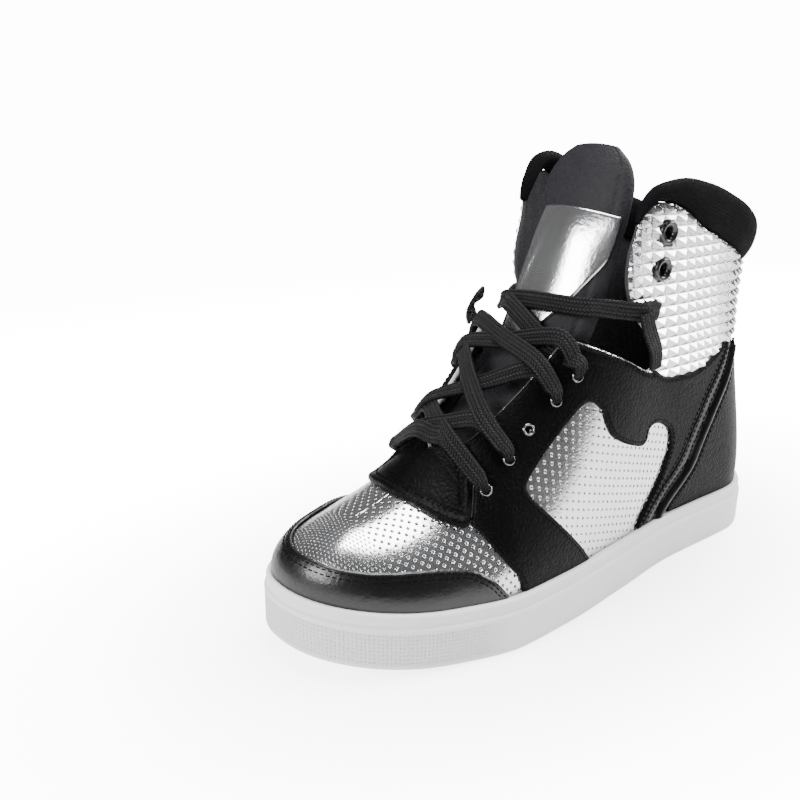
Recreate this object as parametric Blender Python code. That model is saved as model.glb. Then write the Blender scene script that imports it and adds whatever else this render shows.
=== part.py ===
"""High-top dance sneaker, left shoe, standing empty on its sole.

Metres, +Z up, +X to the toe, +Y to the wearer's left, which is the outer side.
The origin is under the middle of the sole, on the ground.
"""
from collections import namedtuple
from math import pi, radians, sin

import bmesh
import bpy
import numpy as np
from mathutils import Vector

for old in list(bpy.data.objects):
    bpy.data.objects.remove(old)

# Driving sizes
LENGTH = 0.272
BALL_WIDTH = 0.0985
TOE_SPRING = 0.0081
SIDEWALL_HEIGHT = 0.0228
SIDEWALL_THICKNESS = 0.0044
FLOOR_THICKNESS = 0.0100
TREAD_THICKNESS = 0.0036
BORDER_WIDTH = 0.0075
LEDGE_DEPTH = 0.0008
INSOLE_THICKNESS = 0.0040
PIVOT_DISC_RADIUS = 0.0230
SHAFT_HEIGHT = 0.1760
UPPER_WALL = 0.0022
OVERLAY = 0.0012
TAB_THICKNESS = 0.0026
HEEL_BAND_THICKNESS = 0.0024
COLLAR_PADDING = 0.0085
TONGUE_THICKNESS = 0.0055
LACE_WIDTH = 0.0078
LACE_THICKNESS = 0.0018
EYELET_RADIUS = 0.0027
EYELET_HOLE = 0.0014
GROMMET_RADIUS = 0.0044
GROMMET_HOLE = 0.0022
RING_HEIGHT = 0.0007
GAP = 0.0003

# Resolution of the lofts
SIDE_COLUMNS = 26
RING_POINTS = 2 * SIDE_COLUMNS
COLUMN_ROWS = 10

HALF_BALL = BALL_WIDTH / 2


# Helpers for tables, lofts and objects

def smooth(xs, ys, x):
    """Monotone cubic through the table's points."""
    xs, ys = np.asarray(xs, float), np.asarray(ys, float)
    step = np.diff(xs)
    slope = np.diff(ys) / step
    tangent = np.zeros(len(xs))
    for i in range(1, len(xs) - 1):
        if slope[i - 1] * slope[i] > 0:
            a = 2 * step[i] + step[i - 1]
            b = step[i] + 2 * step[i - 1]
            tangent[i] = (a + b) / (a / slope[i - 1] + b / slope[i])
    tangent[0], tangent[-1] = slope[0], slope[-1]
    k = np.clip(np.searchsorted(xs, x) - 1, 0, len(step) - 1)
    t = (np.clip(x, xs[0], xs[-1]) - xs[k]) / step[k]
    a = (1 + 2 * t) * (1 - t) ** 2 * ys[k] + t * (1 - t) ** 2 * step[k] * tangent[k]
    b = t * t * (3 - 2 * t) * ys[k + 1] - t * t * (1 - t) * step[k] * tangent[k + 1]
    return a + b


def columns(table):
    """A table's rows as one dict of arrays, one for each named column."""
    names = table[0]._fields
    return {name: [getattr(row, name) for row in table] for name in names}


def material(name, color, roughness, metallic=0.0):
    mat = bpy.data.materials.new(name)
    mat.use_nodes = True
    shader = mat.node_tree.nodes["Principled BSDF"]
    shader.inputs["Base Color"].default_value = (*color, 1.0)
    shader.inputs["Roughness"].default_value = roughness
    shader.inputs["Metallic"].default_value = metallic
    mat.diffuse_color = (*color, 1.0)
    return mat


def add_object(name, points, faces, mat, closed=True):
    """Link a mesh of the given points; a closed one is turned so that its faces point out."""
    mesh = bpy.data.meshes.new(name)
    mesh.from_pydata([tuple(p) for p in points], [], [tuple(f) for f in faces])
    work = bmesh.new()
    work.from_mesh(mesh)
    bmesh.ops.remove_doubles(work, verts=work.verts, dist=1e-6)
    bmesh.ops.dissolve_degenerate(work, edges=work.edges, dist=1e-6)
    if closed:
        bmesh.ops.recalc_face_normals(work, faces=work.faces)
        if work.calc_volume(signed=True) < 0:
            bmesh.ops.reverse_faces(work, faces=work.faces)
    work.to_mesh(mesh)
    work.free()
    obj = bpy.data.objects.new(name, mesh)
    bpy.context.scene.collection.objects.link(obj)
    mesh.materials.append(mat)
    mesh.shade_smooth()
    mesh.set_sharp_from_angle(angle=radians(35))
    return obj


def add_cutter(name, points, faces):
    obj = add_object(name, points, faces, CUTTER)
    obj.hide_render = True
    obj.display_type = "WIRE"
    return obj


def boolean(obj, cutter, operation):
    mod = obj.modifiers.new(operation.lower() + " " + cutter.name, "BOOLEAN")
    mod.operation = operation
    mod.object = cutter
    mod.solver = "EXACT"


WHITE_RUBBER = material("white rubber", (0.86, 0.86, 0.88), 0.5)
LIME_RUBBER = material("lime rubber", (0.55, 0.85, 0.10), 0.5)
SILVER_LEATHER = material("silver foil leather", (0.78, 0.78, 0.79), 0.28, 0.8)
BLACK_LEATHER = material("black leather", (0.02, 0.02, 0.022), 0.45)
BLACK_KNIT = material("black knit", (0.015, 0.015, 0.017), 0.85)
BLACK_LACE = material("black lace", (0.015, 0.015, 0.016), 0.9)
BLACK_METAL = material("black metal", (0.03, 0.03, 0.03), 0.35, 0.8)
STEEL = material("bright steel", (0.7, 0.7, 0.7), 0.3, 1.0)
INSOLE_FOAM = material("insole foam", (0.08, 0.08, 0.085), 0.9)
CUTTER = material("cutter", (1.0, 0.0, 0.0), 0.5)


# Sole outline: half widths along the shoe, as shares of LENGTH and HALF_BALL

Width = namedtuple("Width", "along outer inner")
SOLE_WIDTHS = [
    Width(0.00, 0.69, 0.69),
    Width(0.12, 0.75, 0.75),
    Width(0.30, 0.77, 0.71),
    Width(0.45, 0.875, 0.735),
    Width(0.60, 0.977, 0.90),
    Width(0.70, 1.003, 0.995),
    Width(0.82, 0.879, 0.975),
    Width(1.00, 0.69, 0.772),
]
TOE_CURVE_FROM = 0.80
HEEL_CURVE_TO = 0.14
END_ROUNDNESS = 2.25
TOE_DRIFT = -0.10
SPRING_FROM = 0.70


def spring(x):
    """Height of the sole's underside, which turns up at the toe."""
    along = (np.asarray(x) + LENGTH / 2) / LENGTH
    lift = np.clip((along - SPRING_FROM) / (1 - SPRING_FROM), 0, 1)
    return TOE_SPRING * lift ** 2


def dense_outline():
    """The sole's outer edge from the toe tip round the outer side to the heel and back."""
    share = (1 + np.cos(np.linspace(0, pi, 400))) / 2
    width = columns(SOLE_WIDTHS)
    toe = np.clip((share - TOE_CURVE_FROM) / (1 - TOE_CURVE_FROM), 0, 1)
    heel = np.clip((HEEL_CURVE_TO - share) / HEEL_CURVE_TO, 0, 1)
    cap = (1 - np.maximum(toe, heel) ** END_ROUNDNESS) ** (1 / END_ROUNDNESS)
    drift = TOE_DRIFT * HALF_BALL * np.clip((share - 0.6) / 0.4, 0, 1) ** 2 * (1 - cap)
    outer = smooth(width["along"], width["outer"], share) * HALF_BALL * cap + drift
    inner = -smooth(width["along"], width["inner"], share) * HALF_BALL * cap + drift
    x = (share - 0.5) * LENGTH
    middle = (outer.max() + inner.min()) / 2
    loop = np.concatenate([np.c_[x, outer - middle], np.c_[x, inner - middle][::-1][1:-1]])
    return loop


DENSE = dense_outline()


def walk(loop, shares):
    """Points of a closed loop at shares of its length."""
    closed = np.vstack([loop, loop[:1]])
    run = np.concatenate([[0], np.cumsum(np.linalg.norm(np.diff(closed, axis=0), axis=1))])
    at = np.asarray(shares) * run[-1]
    return np.c_[np.interp(at, run, closed[:, 0]), np.interp(at, run, closed[:, 1])]


def outline(inset, shares=None):
    """The sole's edge moved in by an inset, as ring points that pair up across the shoe."""
    if shares is None:
        shares = np.arange(RING_POINTS) / RING_POINTS
    loop = walk(DENSE, shares)
    ahead = walk(DENSE, (np.asarray(shares) + 0.004) % 1)
    behind = walk(DENSE, (np.asarray(shares) - 0.004) % 1)
    tangent = ahead - behind
    tangent /= np.linalg.norm(tangent, axis=1)[:, None]
    inward = np.c_[-tangent[:, 1], tangent[:, 0]]
    return loop + inward * inset


def ring(inset, height):
    edge = outline(inset)
    return np.c_[edge, spring(edge[:, 0]) + height]


def loft(rings):
    """Skin a stack of rings, with ladders of quads across the first and the last."""
    n = len(rings[0])
    points = np.vstack(rings)
    faces = []
    for k in range(len(rings) - 1):
        for i in range(n):
            j = (i + 1) % n
            faces.append((k * n + i, k * n + j, (k + 1) * n + j, (k + 1) * n + i))
    for base in (0, (len(rings) - 1) * n):
        for i in range(n // 2):
            quad = (i, i + 1, (n - i - 1) % n, (n - i) % n)
            faces.append([base + q for q in dict.fromkeys(quad)])
    return points, faces


# Cupsole: white rubber moulding, with a bumper ledge round its side wall

RIM_FILLET = 0.0012
LEDGE_LEVEL = 0.74
Step = namedtuple("Step", "inset height")


def add_cupsole():
    ledge = LEDGE_LEVEL * SIDEWALL_HEIGHT
    pocket = BORDER_WIDTH
    steps = [
        Step(pocket, TREAD_THICKNESS + GAP),
        Step(pocket, 0.0),
        Step(0.0010, 0.0),
        Step(0.0, 0.0010),
        Step(0.0, ledge),
        Step(LEDGE_DEPTH, ledge + 0.0008),
        Step(LEDGE_DEPTH, SIDEWALL_HEIGHT - RIM_FILLET),
        Step(LEDGE_DEPTH + RIM_FILLET, SIDEWALL_HEIGHT),
        Step(SIDEWALL_THICKNESS, SIDEWALL_HEIGHT - 0.0003),
        Step(SIDEWALL_THICKNESS, FLOOR_THICKNESS),
    ]
    rings = [ring(step.inset, step.height) for step in steps]
    return add_object("cupsole", *loft(rings), WHITE_RUBBER)


# Outsole: tread plate inside the cupsole's border, with ribs, lugs and a pocket for the disc

TREAD_DEPTH = 0.0012
DISC_ALONG = 0.185
RIB_PITCH = 0.0065
RIB_WIDTH = 0.0016
TOE_RIBS = 4
LUG_PITCH = 0.0120
LUG_SWING = 0.0040
LUG_TEETH = 4
HEEL_LUGS = 4
WAIST_LUGS = 4


def turned(profile, center, sides=24):
    """Closed solid turned round a vertical axis, from profile points of radius and height."""
    angles = np.arange(sides) * 2 * pi / sides
    points, faces = [], []
    for radius, height in profile:
        points += [(center[0] + radius * np.cos(a), center[1] + radius * np.sin(a), height)
                   for a in angles]
    for k in range(len(profile) - 1):
        for i in range(sides):
            j = (i + 1) % sides
            faces.append((k * sides + i, k * sides + j, (k + 1) * sides + j, (k + 1) * sides + i))
    faces.append(range(sides))
    faces.append(range((len(profile) - 1) * sides, len(profile) * sides))
    return points, faces


def zigzag(x, half_width, teeth, swing):
    """A groove's outline across the sole, on the ground plane."""
    ys = np.linspace(-half_width, half_width, teeth * 2 + 1)
    xs = x + swing * (np.arange(len(ys)) % 2 - 0.5)
    front = [(px + RIB_WIDTH / 2, py) for px, py in zip(xs, ys)]
    rear = [(px - RIB_WIDTH / 2, py) for px, py in zip(xs, ys)]
    return front + rear[::-1]


def half_width_at(x, inset):
    edge = outline(inset)
    outer, inner = edge[:RING_POINTS // 2 + 1], edge[RING_POINTS // 2:]
    return min(np.interp(x, outer[::-1, 0], outer[::-1, 1]), -np.interp(x, inner[:, 0], inner[:, 1]))


def prism(corners, low, high):
    """Upright prism on a ground outline; low and high are heights, or functions of x."""
    low_at = low if callable(low) else (lambda x: low)
    high_at = high if callable(high) else (lambda x: high)
    n = len(corners)
    points = [(x, y, low_at(x)) for x, y in corners] + [(x, y, high_at(x)) for x, y in corners]
    faces = [(i, (i + 1) % n, n + (i + 1) % n, n + i) for i in range(n)]
    faces += [range(n), range(n, 2 * n)]
    return points, faces


def add_outsole():
    inset = BORDER_WIDTH + GAP
    rings = [ring(inset, TREAD_THICKNESS), ring(inset, 0.0)]
    plate = add_object("outsole", *loft(rings), WHITE_RUBBER)
    center = (DISC_ALONG * LENGTH, 0.0)
    reach = PIVOT_DISC_RADIUS + GAP
    pocket = turned([(reach, -TREAD_THICKNESS), (reach, TREAD_DEPTH + GAP)], center)
    boolean(plate, add_cutter("disc pocket", *pocket), "DIFFERENCE")
    points, faces = [], []
    lines = [(LENGTH * 0.5 - BORDER_WIDTH - 0.008 - RIB_PITCH * k, 1, 0.0) for k in range(TOE_RIBS)]
    lines += [(-LENGTH * 0.5 + BORDER_WIDTH + 0.014 + LUG_PITCH * k, LUG_TEETH, LUG_SWING)
              for k in range(HEEL_LUGS)]
    waist = center[0] - PIVOT_DISC_RADIUS - 0.010
    lines += [(waist - LUG_PITCH * k, LUG_TEETH, LUG_SWING) for k in range(WAIST_LUGS)]
    for x, teeth, swing in lines:
        reach = half_width_at(x, inset) - 0.004
        groove, sides = prism(zigzag(x, reach, teeth, swing), lambda at: spring(at) - 0.002,
                              lambda at: spring(at) + TREAD_DEPTH)
        faces += [[len(points) + v for v in side] for side in sides]
        points += groove
    boolean(plate, add_cutter("tread grooves", points, faces), "DIFFERENCE")
    step = PIVOT_DISC_RADIUS / 4
    profile = [(PIVOT_DISC_RADIUS, TREAD_DEPTH), (PIVOT_DISC_RADIUS, 0.0)]
    for k in range(3, 0, -1):
        profile += [(step * k + 0.0006, 0.0), (step * k, 0.0007), (step * k - 0.0006, 0.0)]
    disc = turned(profile, center)
    add_object("pivot_disc", *disc, LIME_RUBBER)


# Upper: one surface of columns that rise from the sole's edge to the instep and the collar

Column = namedtuple(
    "Column", "name along top_x top_y top_z rise bulge reach_x reach_y reach_z")
COLUMNS = [
    Column("toe", 0.000, 0.375, 0.000, 0.293, 0.070, 0.03, 0.055, 0.00, -0.008),
    Column("toe corner", 0.060, 0.370, 0.000, 0.294, 0.068, 0.03, 0.045, 0.24, -0.006),
    Column("toe side", 0.120, 0.349, 0.000, 0.302, 0.068, 0.03, 0.026, 0.35, -0.008),
    Column("toe joint", 0.200, 0.298, 0.000, 0.332, 0.072, 0.04, 0.008, 0.36, -0.010),
    Column("ball", 0.280, 0.243, 0.000, 0.398, 0.090, 0.04, 0.000, 0.34, -0.016),
    Column("throat foot", 0.310, 0.230, 0.102, 0.418, 0.100, 0.04, 0.000, 0.31, -0.026),
    Column("throat corner", 0.345, 0.213, 0.284, 0.435, 0.120, 0.03, 0.000, 0.27, -0.040),
    Column("lower instep", 0.400, 0.165, 0.345, 0.489, 0.150, 0.03, 0.000, 0.26, -0.050),
    Column("instep", 0.450, 0.114, 0.406, 0.557, 0.175, 0.03, 0.000, 0.24, -0.070),
    Column("upper instep", 0.500, 0.059, 0.487, 0.648, 0.200, 0.02, 0.000, 0.20, -0.100),
    Column("ankle bend", 0.550, 0.004, 0.569, 0.750, 0.220, 0.01, 0.000, 0.14, -0.130),
    Column("shaft front", 0.600, -0.042, 0.640, 0.872, 0.240, 0.00, 0.000, 0.08, -0.170),
    Column("flap front", 0.640, -0.066, 0.680, 0.955, 0.250, 0.00, 0.000, 0.04, -0.190),
    Column("flap corner", 0.680, -0.094, 0.711, 0.990, 0.250, 0.00, 0.005, 0.02, -0.210),
    Column("flap", 0.730, -0.140, 0.741, 1.000, 0.250, 0.00, 0.005, 0.00, -0.230),
    Column("flap rear", 0.790, -0.206, 0.751, 0.983, 0.240, 0.01, 0.005, -0.07, -0.290),
    Column("collar side", 0.860, -0.301, 0.711, 0.938, 0.215, 0.02, 0.012, -0.13, -0.310),
    Column("collar corner", 0.920, -0.382, 0.569, 0.892, 0.180, 0.05, 0.032, -0.15, -0.330),
    Column("collar rear", 0.970, -0.441, 0.264, 0.864, 0.160, 0.06, 0.052, -0.08, -0.345),
    Column("heel", 1.000, -0.456, 0.000, 0.860, 0.155, 0.06, 0.062, 0.00, -0.350),
]
INNER_FLAP_LIFT = 0.055
FLAP_ALONG = 0.69
FLAP_SPREAD = 0.09


def surface(round_share, up):
    """The upper's outer face. round_share is 0 at the toe, 1 at the heel by the outer side and
    2 at the toe again by the inner side; up is 0 at the sole's rim and 1 at the column's top."""
    q, t = np.broadcast_arrays(np.asarray(round_share, float), np.asarray(up, float))
    q = q % 2
    side = np.where(q <= 1, 1.0, -1.0)
    along = np.where(q <= 1, q, 2 - q)
    table = columns(COLUMNS)
    get = {name: smooth(table["along"], table[name], along)
           for name in Column._fields if name not in ("name", "along")}
    lift = INNER_FLAP_LIFT * np.exp(-((along - FLAP_ALONG) / FLAP_SPREAD) ** 2) * (side < 0)
    inset = SIDEWALL_THICKNESS + GAP
    foot = outline(inset, np.ravel(q / 2))
    out = (foot - outline(inset + 0.001, np.ravel(q / 2))) / 0.001
    foot = foot.reshape(*q.shape, 2)
    out = out.reshape(*q.shape, 2)
    fx, fy = foot[..., 0], foot[..., 1]
    p0 = np.stack([fx, fy, spring(fx) + SIDEWALL_HEIGHT], axis=-1)
    p3 = np.stack([get["top_x"] * LENGTH, side * get["top_y"] * HALF_BALL,
                   (get["top_z"] + lift) * SHAFT_HEIGHT], axis=-1)
    p1 = p0 + np.stack([out[..., 0] * get["bulge"] * HALF_BALL,
                        out[..., 1] * get["bulge"] * HALF_BALL,
                        get["rise"] * SHAFT_HEIGHT], axis=-1)
    p2 = p3 + np.stack([get["reach_x"] * LENGTH, side * get["reach_y"] * HALF_BALL,
                        get["reach_z"] * SHAFT_HEIGHT], axis=-1)
    t = t[..., None]
    return (1 - t) ** 3 * p0 + 3 * t * (1 - t) ** 2 * p1 + 3 * t * t * (1 - t) * p2 + t ** 3 * p3


def normal(round_share, up):
    """Unit normal of the upper's outer face, pointing out."""
    q, t = np.broadcast_arrays(np.asarray(round_share, float), np.asarray(up, float))
    small = 0.004
    round_way = surface(q + small, t) - surface(q - small, t)
    up_way = surface(q, np.minimum(t + small, 1)) - surface(q, np.maximum(t - small, 0))
    n = np.cross(round_way, up_way)
    n[..., 1] *= np.abs(surface(q, t)[..., 1]) > 1e-6
    return n / (np.linalg.norm(n, axis=-1)[..., None] + 1e-12)


def locate(side, x, z):
    """The round share and up share of the surface point seen at x, z from one side."""
    low_q, high_q, low_t, high_t = 0.02, 0.98, 0.0, 1.0
    for _ in range(4):
        q = np.linspace(low_q, high_q, 60)[:, None]
        t = np.linspace(low_t, high_t, 60)[None, :]
        points = surface(q if side > 0 else 2 - q, t)
        miss = (points[..., 0] - x) ** 2 + (points[..., 2] - z) ** 2
        i, j = np.unravel_index(np.argmin(miss), miss.shape)
        span_q, span_t = (high_q - low_q) / 20, (high_t - low_t) / 20
        low_q, high_q = q[i, 0] - span_q, q[i, 0] + span_q
        low_t, high_t = max(t[0, j] - span_t, 0), min(t[0, j] + span_t, 1)
        best = (q[i, 0] if side > 0 else 2 - q[i, 0], t[0, j])
    return best


# Where the collar padding takes over from the upper's wall, and how far it swells

Collar = namedtuple("Collar", "along start swell flare")
COLLAR_FROM = 0.625
COLLAR = [
    Collar(0.000, 1.000, 0.00, 0.00),
    Collar(0.590, 1.000, 0.10, 0.00),
    Collar(0.640, 0.960, 0.80, 0.00),
    Collar(0.690, 0.935, 1.00, 0.00),
    Collar(0.790, 0.880, 1.00, 0.05),
    Collar(0.860, 0.875, 1.00, 0.08),
    Collar(0.930, 0.880, 1.00, 0.12),
    Collar(1.000, 0.875, 1.00, 0.15),
]


def wall_top(along):
    table = columns(COLLAR)
    return smooth(table["along"], table["start"], along)


# Panel outlines, seen from the side: x as a share of LENGTH, z as a share of SHAFT_HEIGHT

Corner = namedtuple("Corner", "x z")
NOTCH = [
    Corner(-0.040, 1.136), Corner(0.180, 1.136), Corner(0.132, 0.659), Corner(0.081, 0.645),
    Corner(0.059, 0.651), Corner(0.037, 0.642), Corner(-0.004, 0.616), Corner(-0.055, 0.580),
    Corner(-0.092, 0.551), Corner(-0.110, 0.545), Corner(-0.121, 0.560), Corner(-0.121, 0.597),
    Corner(-0.085, 0.653), Corner(-0.053, 0.710), Corner(-0.040, 0.767), Corner(-0.042, 0.835),
    Corner(-0.052, 0.892), Corner(-0.056, 0.966),
]
FACING_FRONT = [
    Corner(0.210, 0.068), Corner(0.199, 0.142), Corner(0.228, 0.216), Corner(0.243, 0.261),
    Corner(0.252, 0.290), Corner(0.250, 0.325), Corner(0.238, 0.365), Corner(0.226, 0.405),
    Corner(0.235, 0.500), Corner(0.180, 0.682), Corner(0.088, 0.767), Corner(0.000, 0.700),
    Corner(-0.060, 0.620), Corner(-0.114, 0.552),
]
QUARTER_TOP = [
    Corner(-0.118, 0.545), Corner(-0.147, 0.520), Corner(-0.188, 0.514), Corner(-0.232, 0.517),
    Corner(-0.272, 0.537), Corner(-0.301, 0.557),
]
HEEL_FRONT = [
    Corner(-0.103, 0.068), Corner(-0.110, 0.125), Corner(-0.158, 0.196), Corner(-0.211, 0.267),
    Corner(-0.244, 0.358), Corner(-0.272, 0.438), Corner(-0.305, 0.511), Corner(-0.329, 0.577),
]
HEEL_REAR = [
    Corner(-0.160, 0.068), Corner(-0.176, 0.125), Corner(-0.254, 0.227), Corner(-0.283, 0.312),
    Corner(-0.316, 0.403), Corner(-0.342, 0.466), Corner(-0.360, 0.523), Corner(-0.371, 0.577),
]
WINDOW_OUTER = [
    Corner(-0.088, 0.068), Corner(-0.099, 0.136), Corner(-0.121, 0.176), Corner(-0.153, 0.227),
    Corner(-0.176, 0.290), Corner(-0.182, 0.330), Corner(-0.175, 0.369), Corner(-0.154, 0.392),
    Corner(-0.129, 0.403), Corner(-0.112, 0.395), Corner(-0.107, 0.369), Corner(-0.096, 0.358),
    Corner(-0.066, 0.369), Corner(-0.033, 0.392), Corner(-0.011, 0.415), Corner(0.000, 0.443),
    Corner(0.007, 0.472), Corner(0.018, 0.494), Corner(0.033, 0.506), Corner(0.048, 0.500),
    Corner(0.103, 0.432), Corner(0.158, 0.358), Corner(0.164, 0.341), Corner(0.151, 0.307),
    Corner(0.044, 0.131), Corner(0.026, 0.068),
]
WINDOW_INNER = [
    Corner(-0.088, 0.068), Corner(-0.099, 0.136), Corner(-0.121, 0.176), Corner(-0.153, 0.227),
    Corner(-0.176, 0.290), Corner(-0.182, 0.347), Corner(-0.169, 0.398), Corner(-0.140, 0.432),
    Corner(-0.096, 0.452), Corner(-0.040, 0.466), Corner(0.015, 0.472), Corner(0.051, 0.460),
    Corner(0.103, 0.415), Corner(0.158, 0.347), Corner(0.164, 0.330), Corner(0.151, 0.295),
    Corner(0.044, 0.131), Corner(0.026, 0.068),
]
HEEL_TOP = 0.577
BEYOND_HEEL = -0.55


def side_prism(corners, side, shift=0.0):
    """Prism across the shoe on a side outline: side 1 outer, -1 inner, 0 right across."""
    near, far = (-BALL_WIDTH, BALL_WIDTH) if side == 0 else (0.0, side * BALL_WIDTH)
    n = len(corners)
    flat = [(c.x * LENGTH + shift, c.z * SHAFT_HEIGHT) for c in corners]
    points = [(x, near, z) for x, z in flat] + [(x, far, z) for x, z in flat]
    faces = [(i, (i + 1) % n, n + (i + 1) % n, n + i) for i in range(n)]
    faces += [range(n), range(n, 2 * n)]
    return points, faces


def upper_columns(first, last):
    """Round shares of the upper's own columns between two round shares."""
    low, high = round(first * SIDE_COLUMNS), round(last * SIDE_COLUMNS)
    return np.arange(low, high + 1) / SIDE_COLUMNS


def upper_rows(q):
    """Up shares of the upper's own rows in a column, from the rim to the wall's top."""
    along = abs(q) if abs(q) <= 1 else 2 - abs(q)
    return np.linspace(0, 1, COLUMN_ROWS + 1) * wall_top(along)


def overlay_rows(q):
    rows = upper_rows(q)
    rows[0] = OVERLAY_FROM
    return rows


def grid_faces(columns_count, rows, wrap):
    """Triangles of a grid of columns, all cut along the same diagonal."""
    faces = []
    for i in range(columns_count if wrap else columns_count - 1):
        for j in range(rows - 1):
            a, b = i * rows + j, ((i + 1) % columns_count) * rows + j
            faces.append((a, b, b + 1))
            faces.append((a, b + 1, a + 1))
    return faces


def sheet(name, qs, rows_at, lift, mat, thickness):
    """Closed shell over the upper: a grid of its surface points, lifted, then thickened outward."""
    points = []
    for q in qs:
        t = np.asarray(rows_at(q))
        points += list(surface(q, t) + normal(q, t) * lift)
    faces = grid_faces(len(qs), len(rows_at(qs[0])), False)
    obj = add_object(name, points, faces, mat, closed=False)
    solid = obj.modifiers.new("thickness", "SOLIDIFY")
    solid.thickness = thickness
    solid.offset = 1.0
    return obj


def add_upper():
    """Hollow wall: outer face pulled down inside the cupsole, thickened inward, and notched."""
    drop = SIDEWALL_HEIGHT - FLOOR_THICKNESS - GAP
    points = []
    for q in np.arange(2 * SIDE_COLUMNS) / SIDE_COLUMNS:
        line = surface(q, upper_rows(q))
        points += [line[0] - Vector((0, 0, drop))]
        points += list(line)
    faces = grid_faces(2 * SIDE_COLUMNS, COLUMN_ROWS + 2, True)
    upper = add_object("upper", points, faces, SILVER_LEATHER, closed=False)
    solid = upper.modifiers.new("wall", "SOLIDIFY")
    solid.thickness = UPPER_WALL
    solid.offset = -1.0
    boolean(upper, NOTCH_CUTTER, "DIFFERENCE")
    return upper


# Overlays: black leather panels a stitched leather's thickness proud of the upper

OVERLAY_FROM = 0.015
CapEdge = namedtuple("CapEdge", "round_share height")
TOE_CAP_EDGE = [
    CapEdge(-0.310, 0.016),
    CapEdge(-0.285, 0.060),
    CapEdge(-0.240, 0.095),
    CapEdge(-0.180, 0.103),
    CapEdge(-0.120, 0.092),
    CapEdge(-0.060, 0.080),
    CapEdge(0.000, 0.070),
    CapEdge(0.060, 0.069),
    CapEdge(0.120, 0.070),
    CapEdge(0.220, 0.077),
    CapEdge(0.260, 0.073),
    CapEdge(0.290, 0.050),
    CapEdge(0.315, 0.016),
]


def up_at(q, height):
    """The up share where a column is a height above the sole's rim."""
    t = np.linspace(0, 1, 200)
    z = surface(q, t)[:, 2]
    return float(np.interp(z[0] + height, z, t))


def add_toe_cap():
    edge = columns(TOE_CAP_EDGE)
    qs = upper_columns(edge["round_share"][0], edge["round_share"][-1])

    def rows(q):
        height = float(smooth(edge["round_share"], edge["height"], q)) * SHAFT_HEIGHT
        return np.linspace(OVERLAY_FROM, max(up_at(q, height), OVERLAY_FROM + 0.02), 5)

    return sheet("toe_cap", qs, rows, 3 * GAP, BLACK_LEATHER, OVERLAY)


TabEdge = namedtuple("TabEdge", "x y")
TAB_EDGE = [
    TabEdge(0.234, 0.42), TabEdge(0.258, 0.60), TabEdge(0.281, 0.51), TabEdge(0.296, 0.38),
    TabEdge(0.307, 0.20), TabEdge(0.312, 0.0),
]
TAB_REAR = 0.222
TAB_REACH = 0.38


def tab_outline(grow):
    half = [(c.x * LENGTH + grow, c.y * HALF_BALL + (grow if c.y else 0)) for c in TAB_EDGE]
    half[0] = (TAB_REAR * LENGTH, half[0][1])
    return half + [(x, -y) for x, y in half[-2::-1]]


def add_throat_tab():
    tab = sheet("throat_tab", upper_columns(-TAB_REACH, TAB_REACH), lambda q: overlay_rows(q)[4:], GAP,
                BLACK_LEATHER, TAB_THICKNESS)
    cutter = add_cutter("tab outline", *prism(tab_outline(0.0), 0.0, SHAFT_HEIGHT))
    boolean(tab, cutter, "INTERSECT")
    return tab


def add_facing(name, side, window):
    corners = FACING_FRONT + QUARTER_TOP + HEEL_FRONT[::-1] + window
    qs = upper_columns(0.25, 0.98)
    if side < 0:
        qs = 2 - qs[::-1]
    facing = sheet(name, qs, overlay_rows, GAP, BLACK_LEATHER, OVERLAY)
    boolean(facing, add_cutter(name + " outline", *side_prism(corners, side)), "INTERSECT")
    boolean(facing, NOTCH_CUTTER, "DIFFERENCE")
    boolean(facing, TAB_CLEARANCE, "DIFFERENCE")
    return facing


def add_heel_band(name, side):
    corners = HEEL_FRONT + HEEL_REAR[::-1]
    qs = upper_columns(0.62, 0.97)
    if side < 0:
        qs = 2 - qs[::-1]
    band = sheet(name, qs, lambda q: overlay_rows(q)[:9], GAP, BLACK_LEATHER, HEEL_BAND_THICKNESS)
    boolean(band, add_cutter(name + " outline", *side_prism(corners, side, -GAP)), "INTERSECT")
    return band


def add_heel_counter():
    beyond = [Corner(BEYOND_HEEL, HEEL_TOP), Corner(BEYOND_HEEL, HEEL_REAR[0].z)]
    corners = HEEL_REAR + beyond
    counter = sheet("heel_counter", upper_columns(0.70, 1.30), lambda q: overlay_rows(q)[:9], GAP,
                    BLACK_LEATHER, OVERLAY)
    boolean(counter, add_cutter("counter outline", *side_prism(corners, 0, -2 * GAP)), "INTERSECT")
    return counter


Pad = namedtuple("Pad", "outward up")
PAD_SECTION = [
    Pad(0.00, 0.00), Pad(0.18, 0.25), Pad(0.34, 0.55), Pad(0.30, 0.85), Pad(0.05, 1.00),
    Pad(-0.35, 1.00), Pad(-0.62, 0.85), Pad(-0.66, 0.55), Pad(-0.50, 0.25), Pad(-0.30, 0.00),
]
FLARE_BEND = 0.75 * pi


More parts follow.
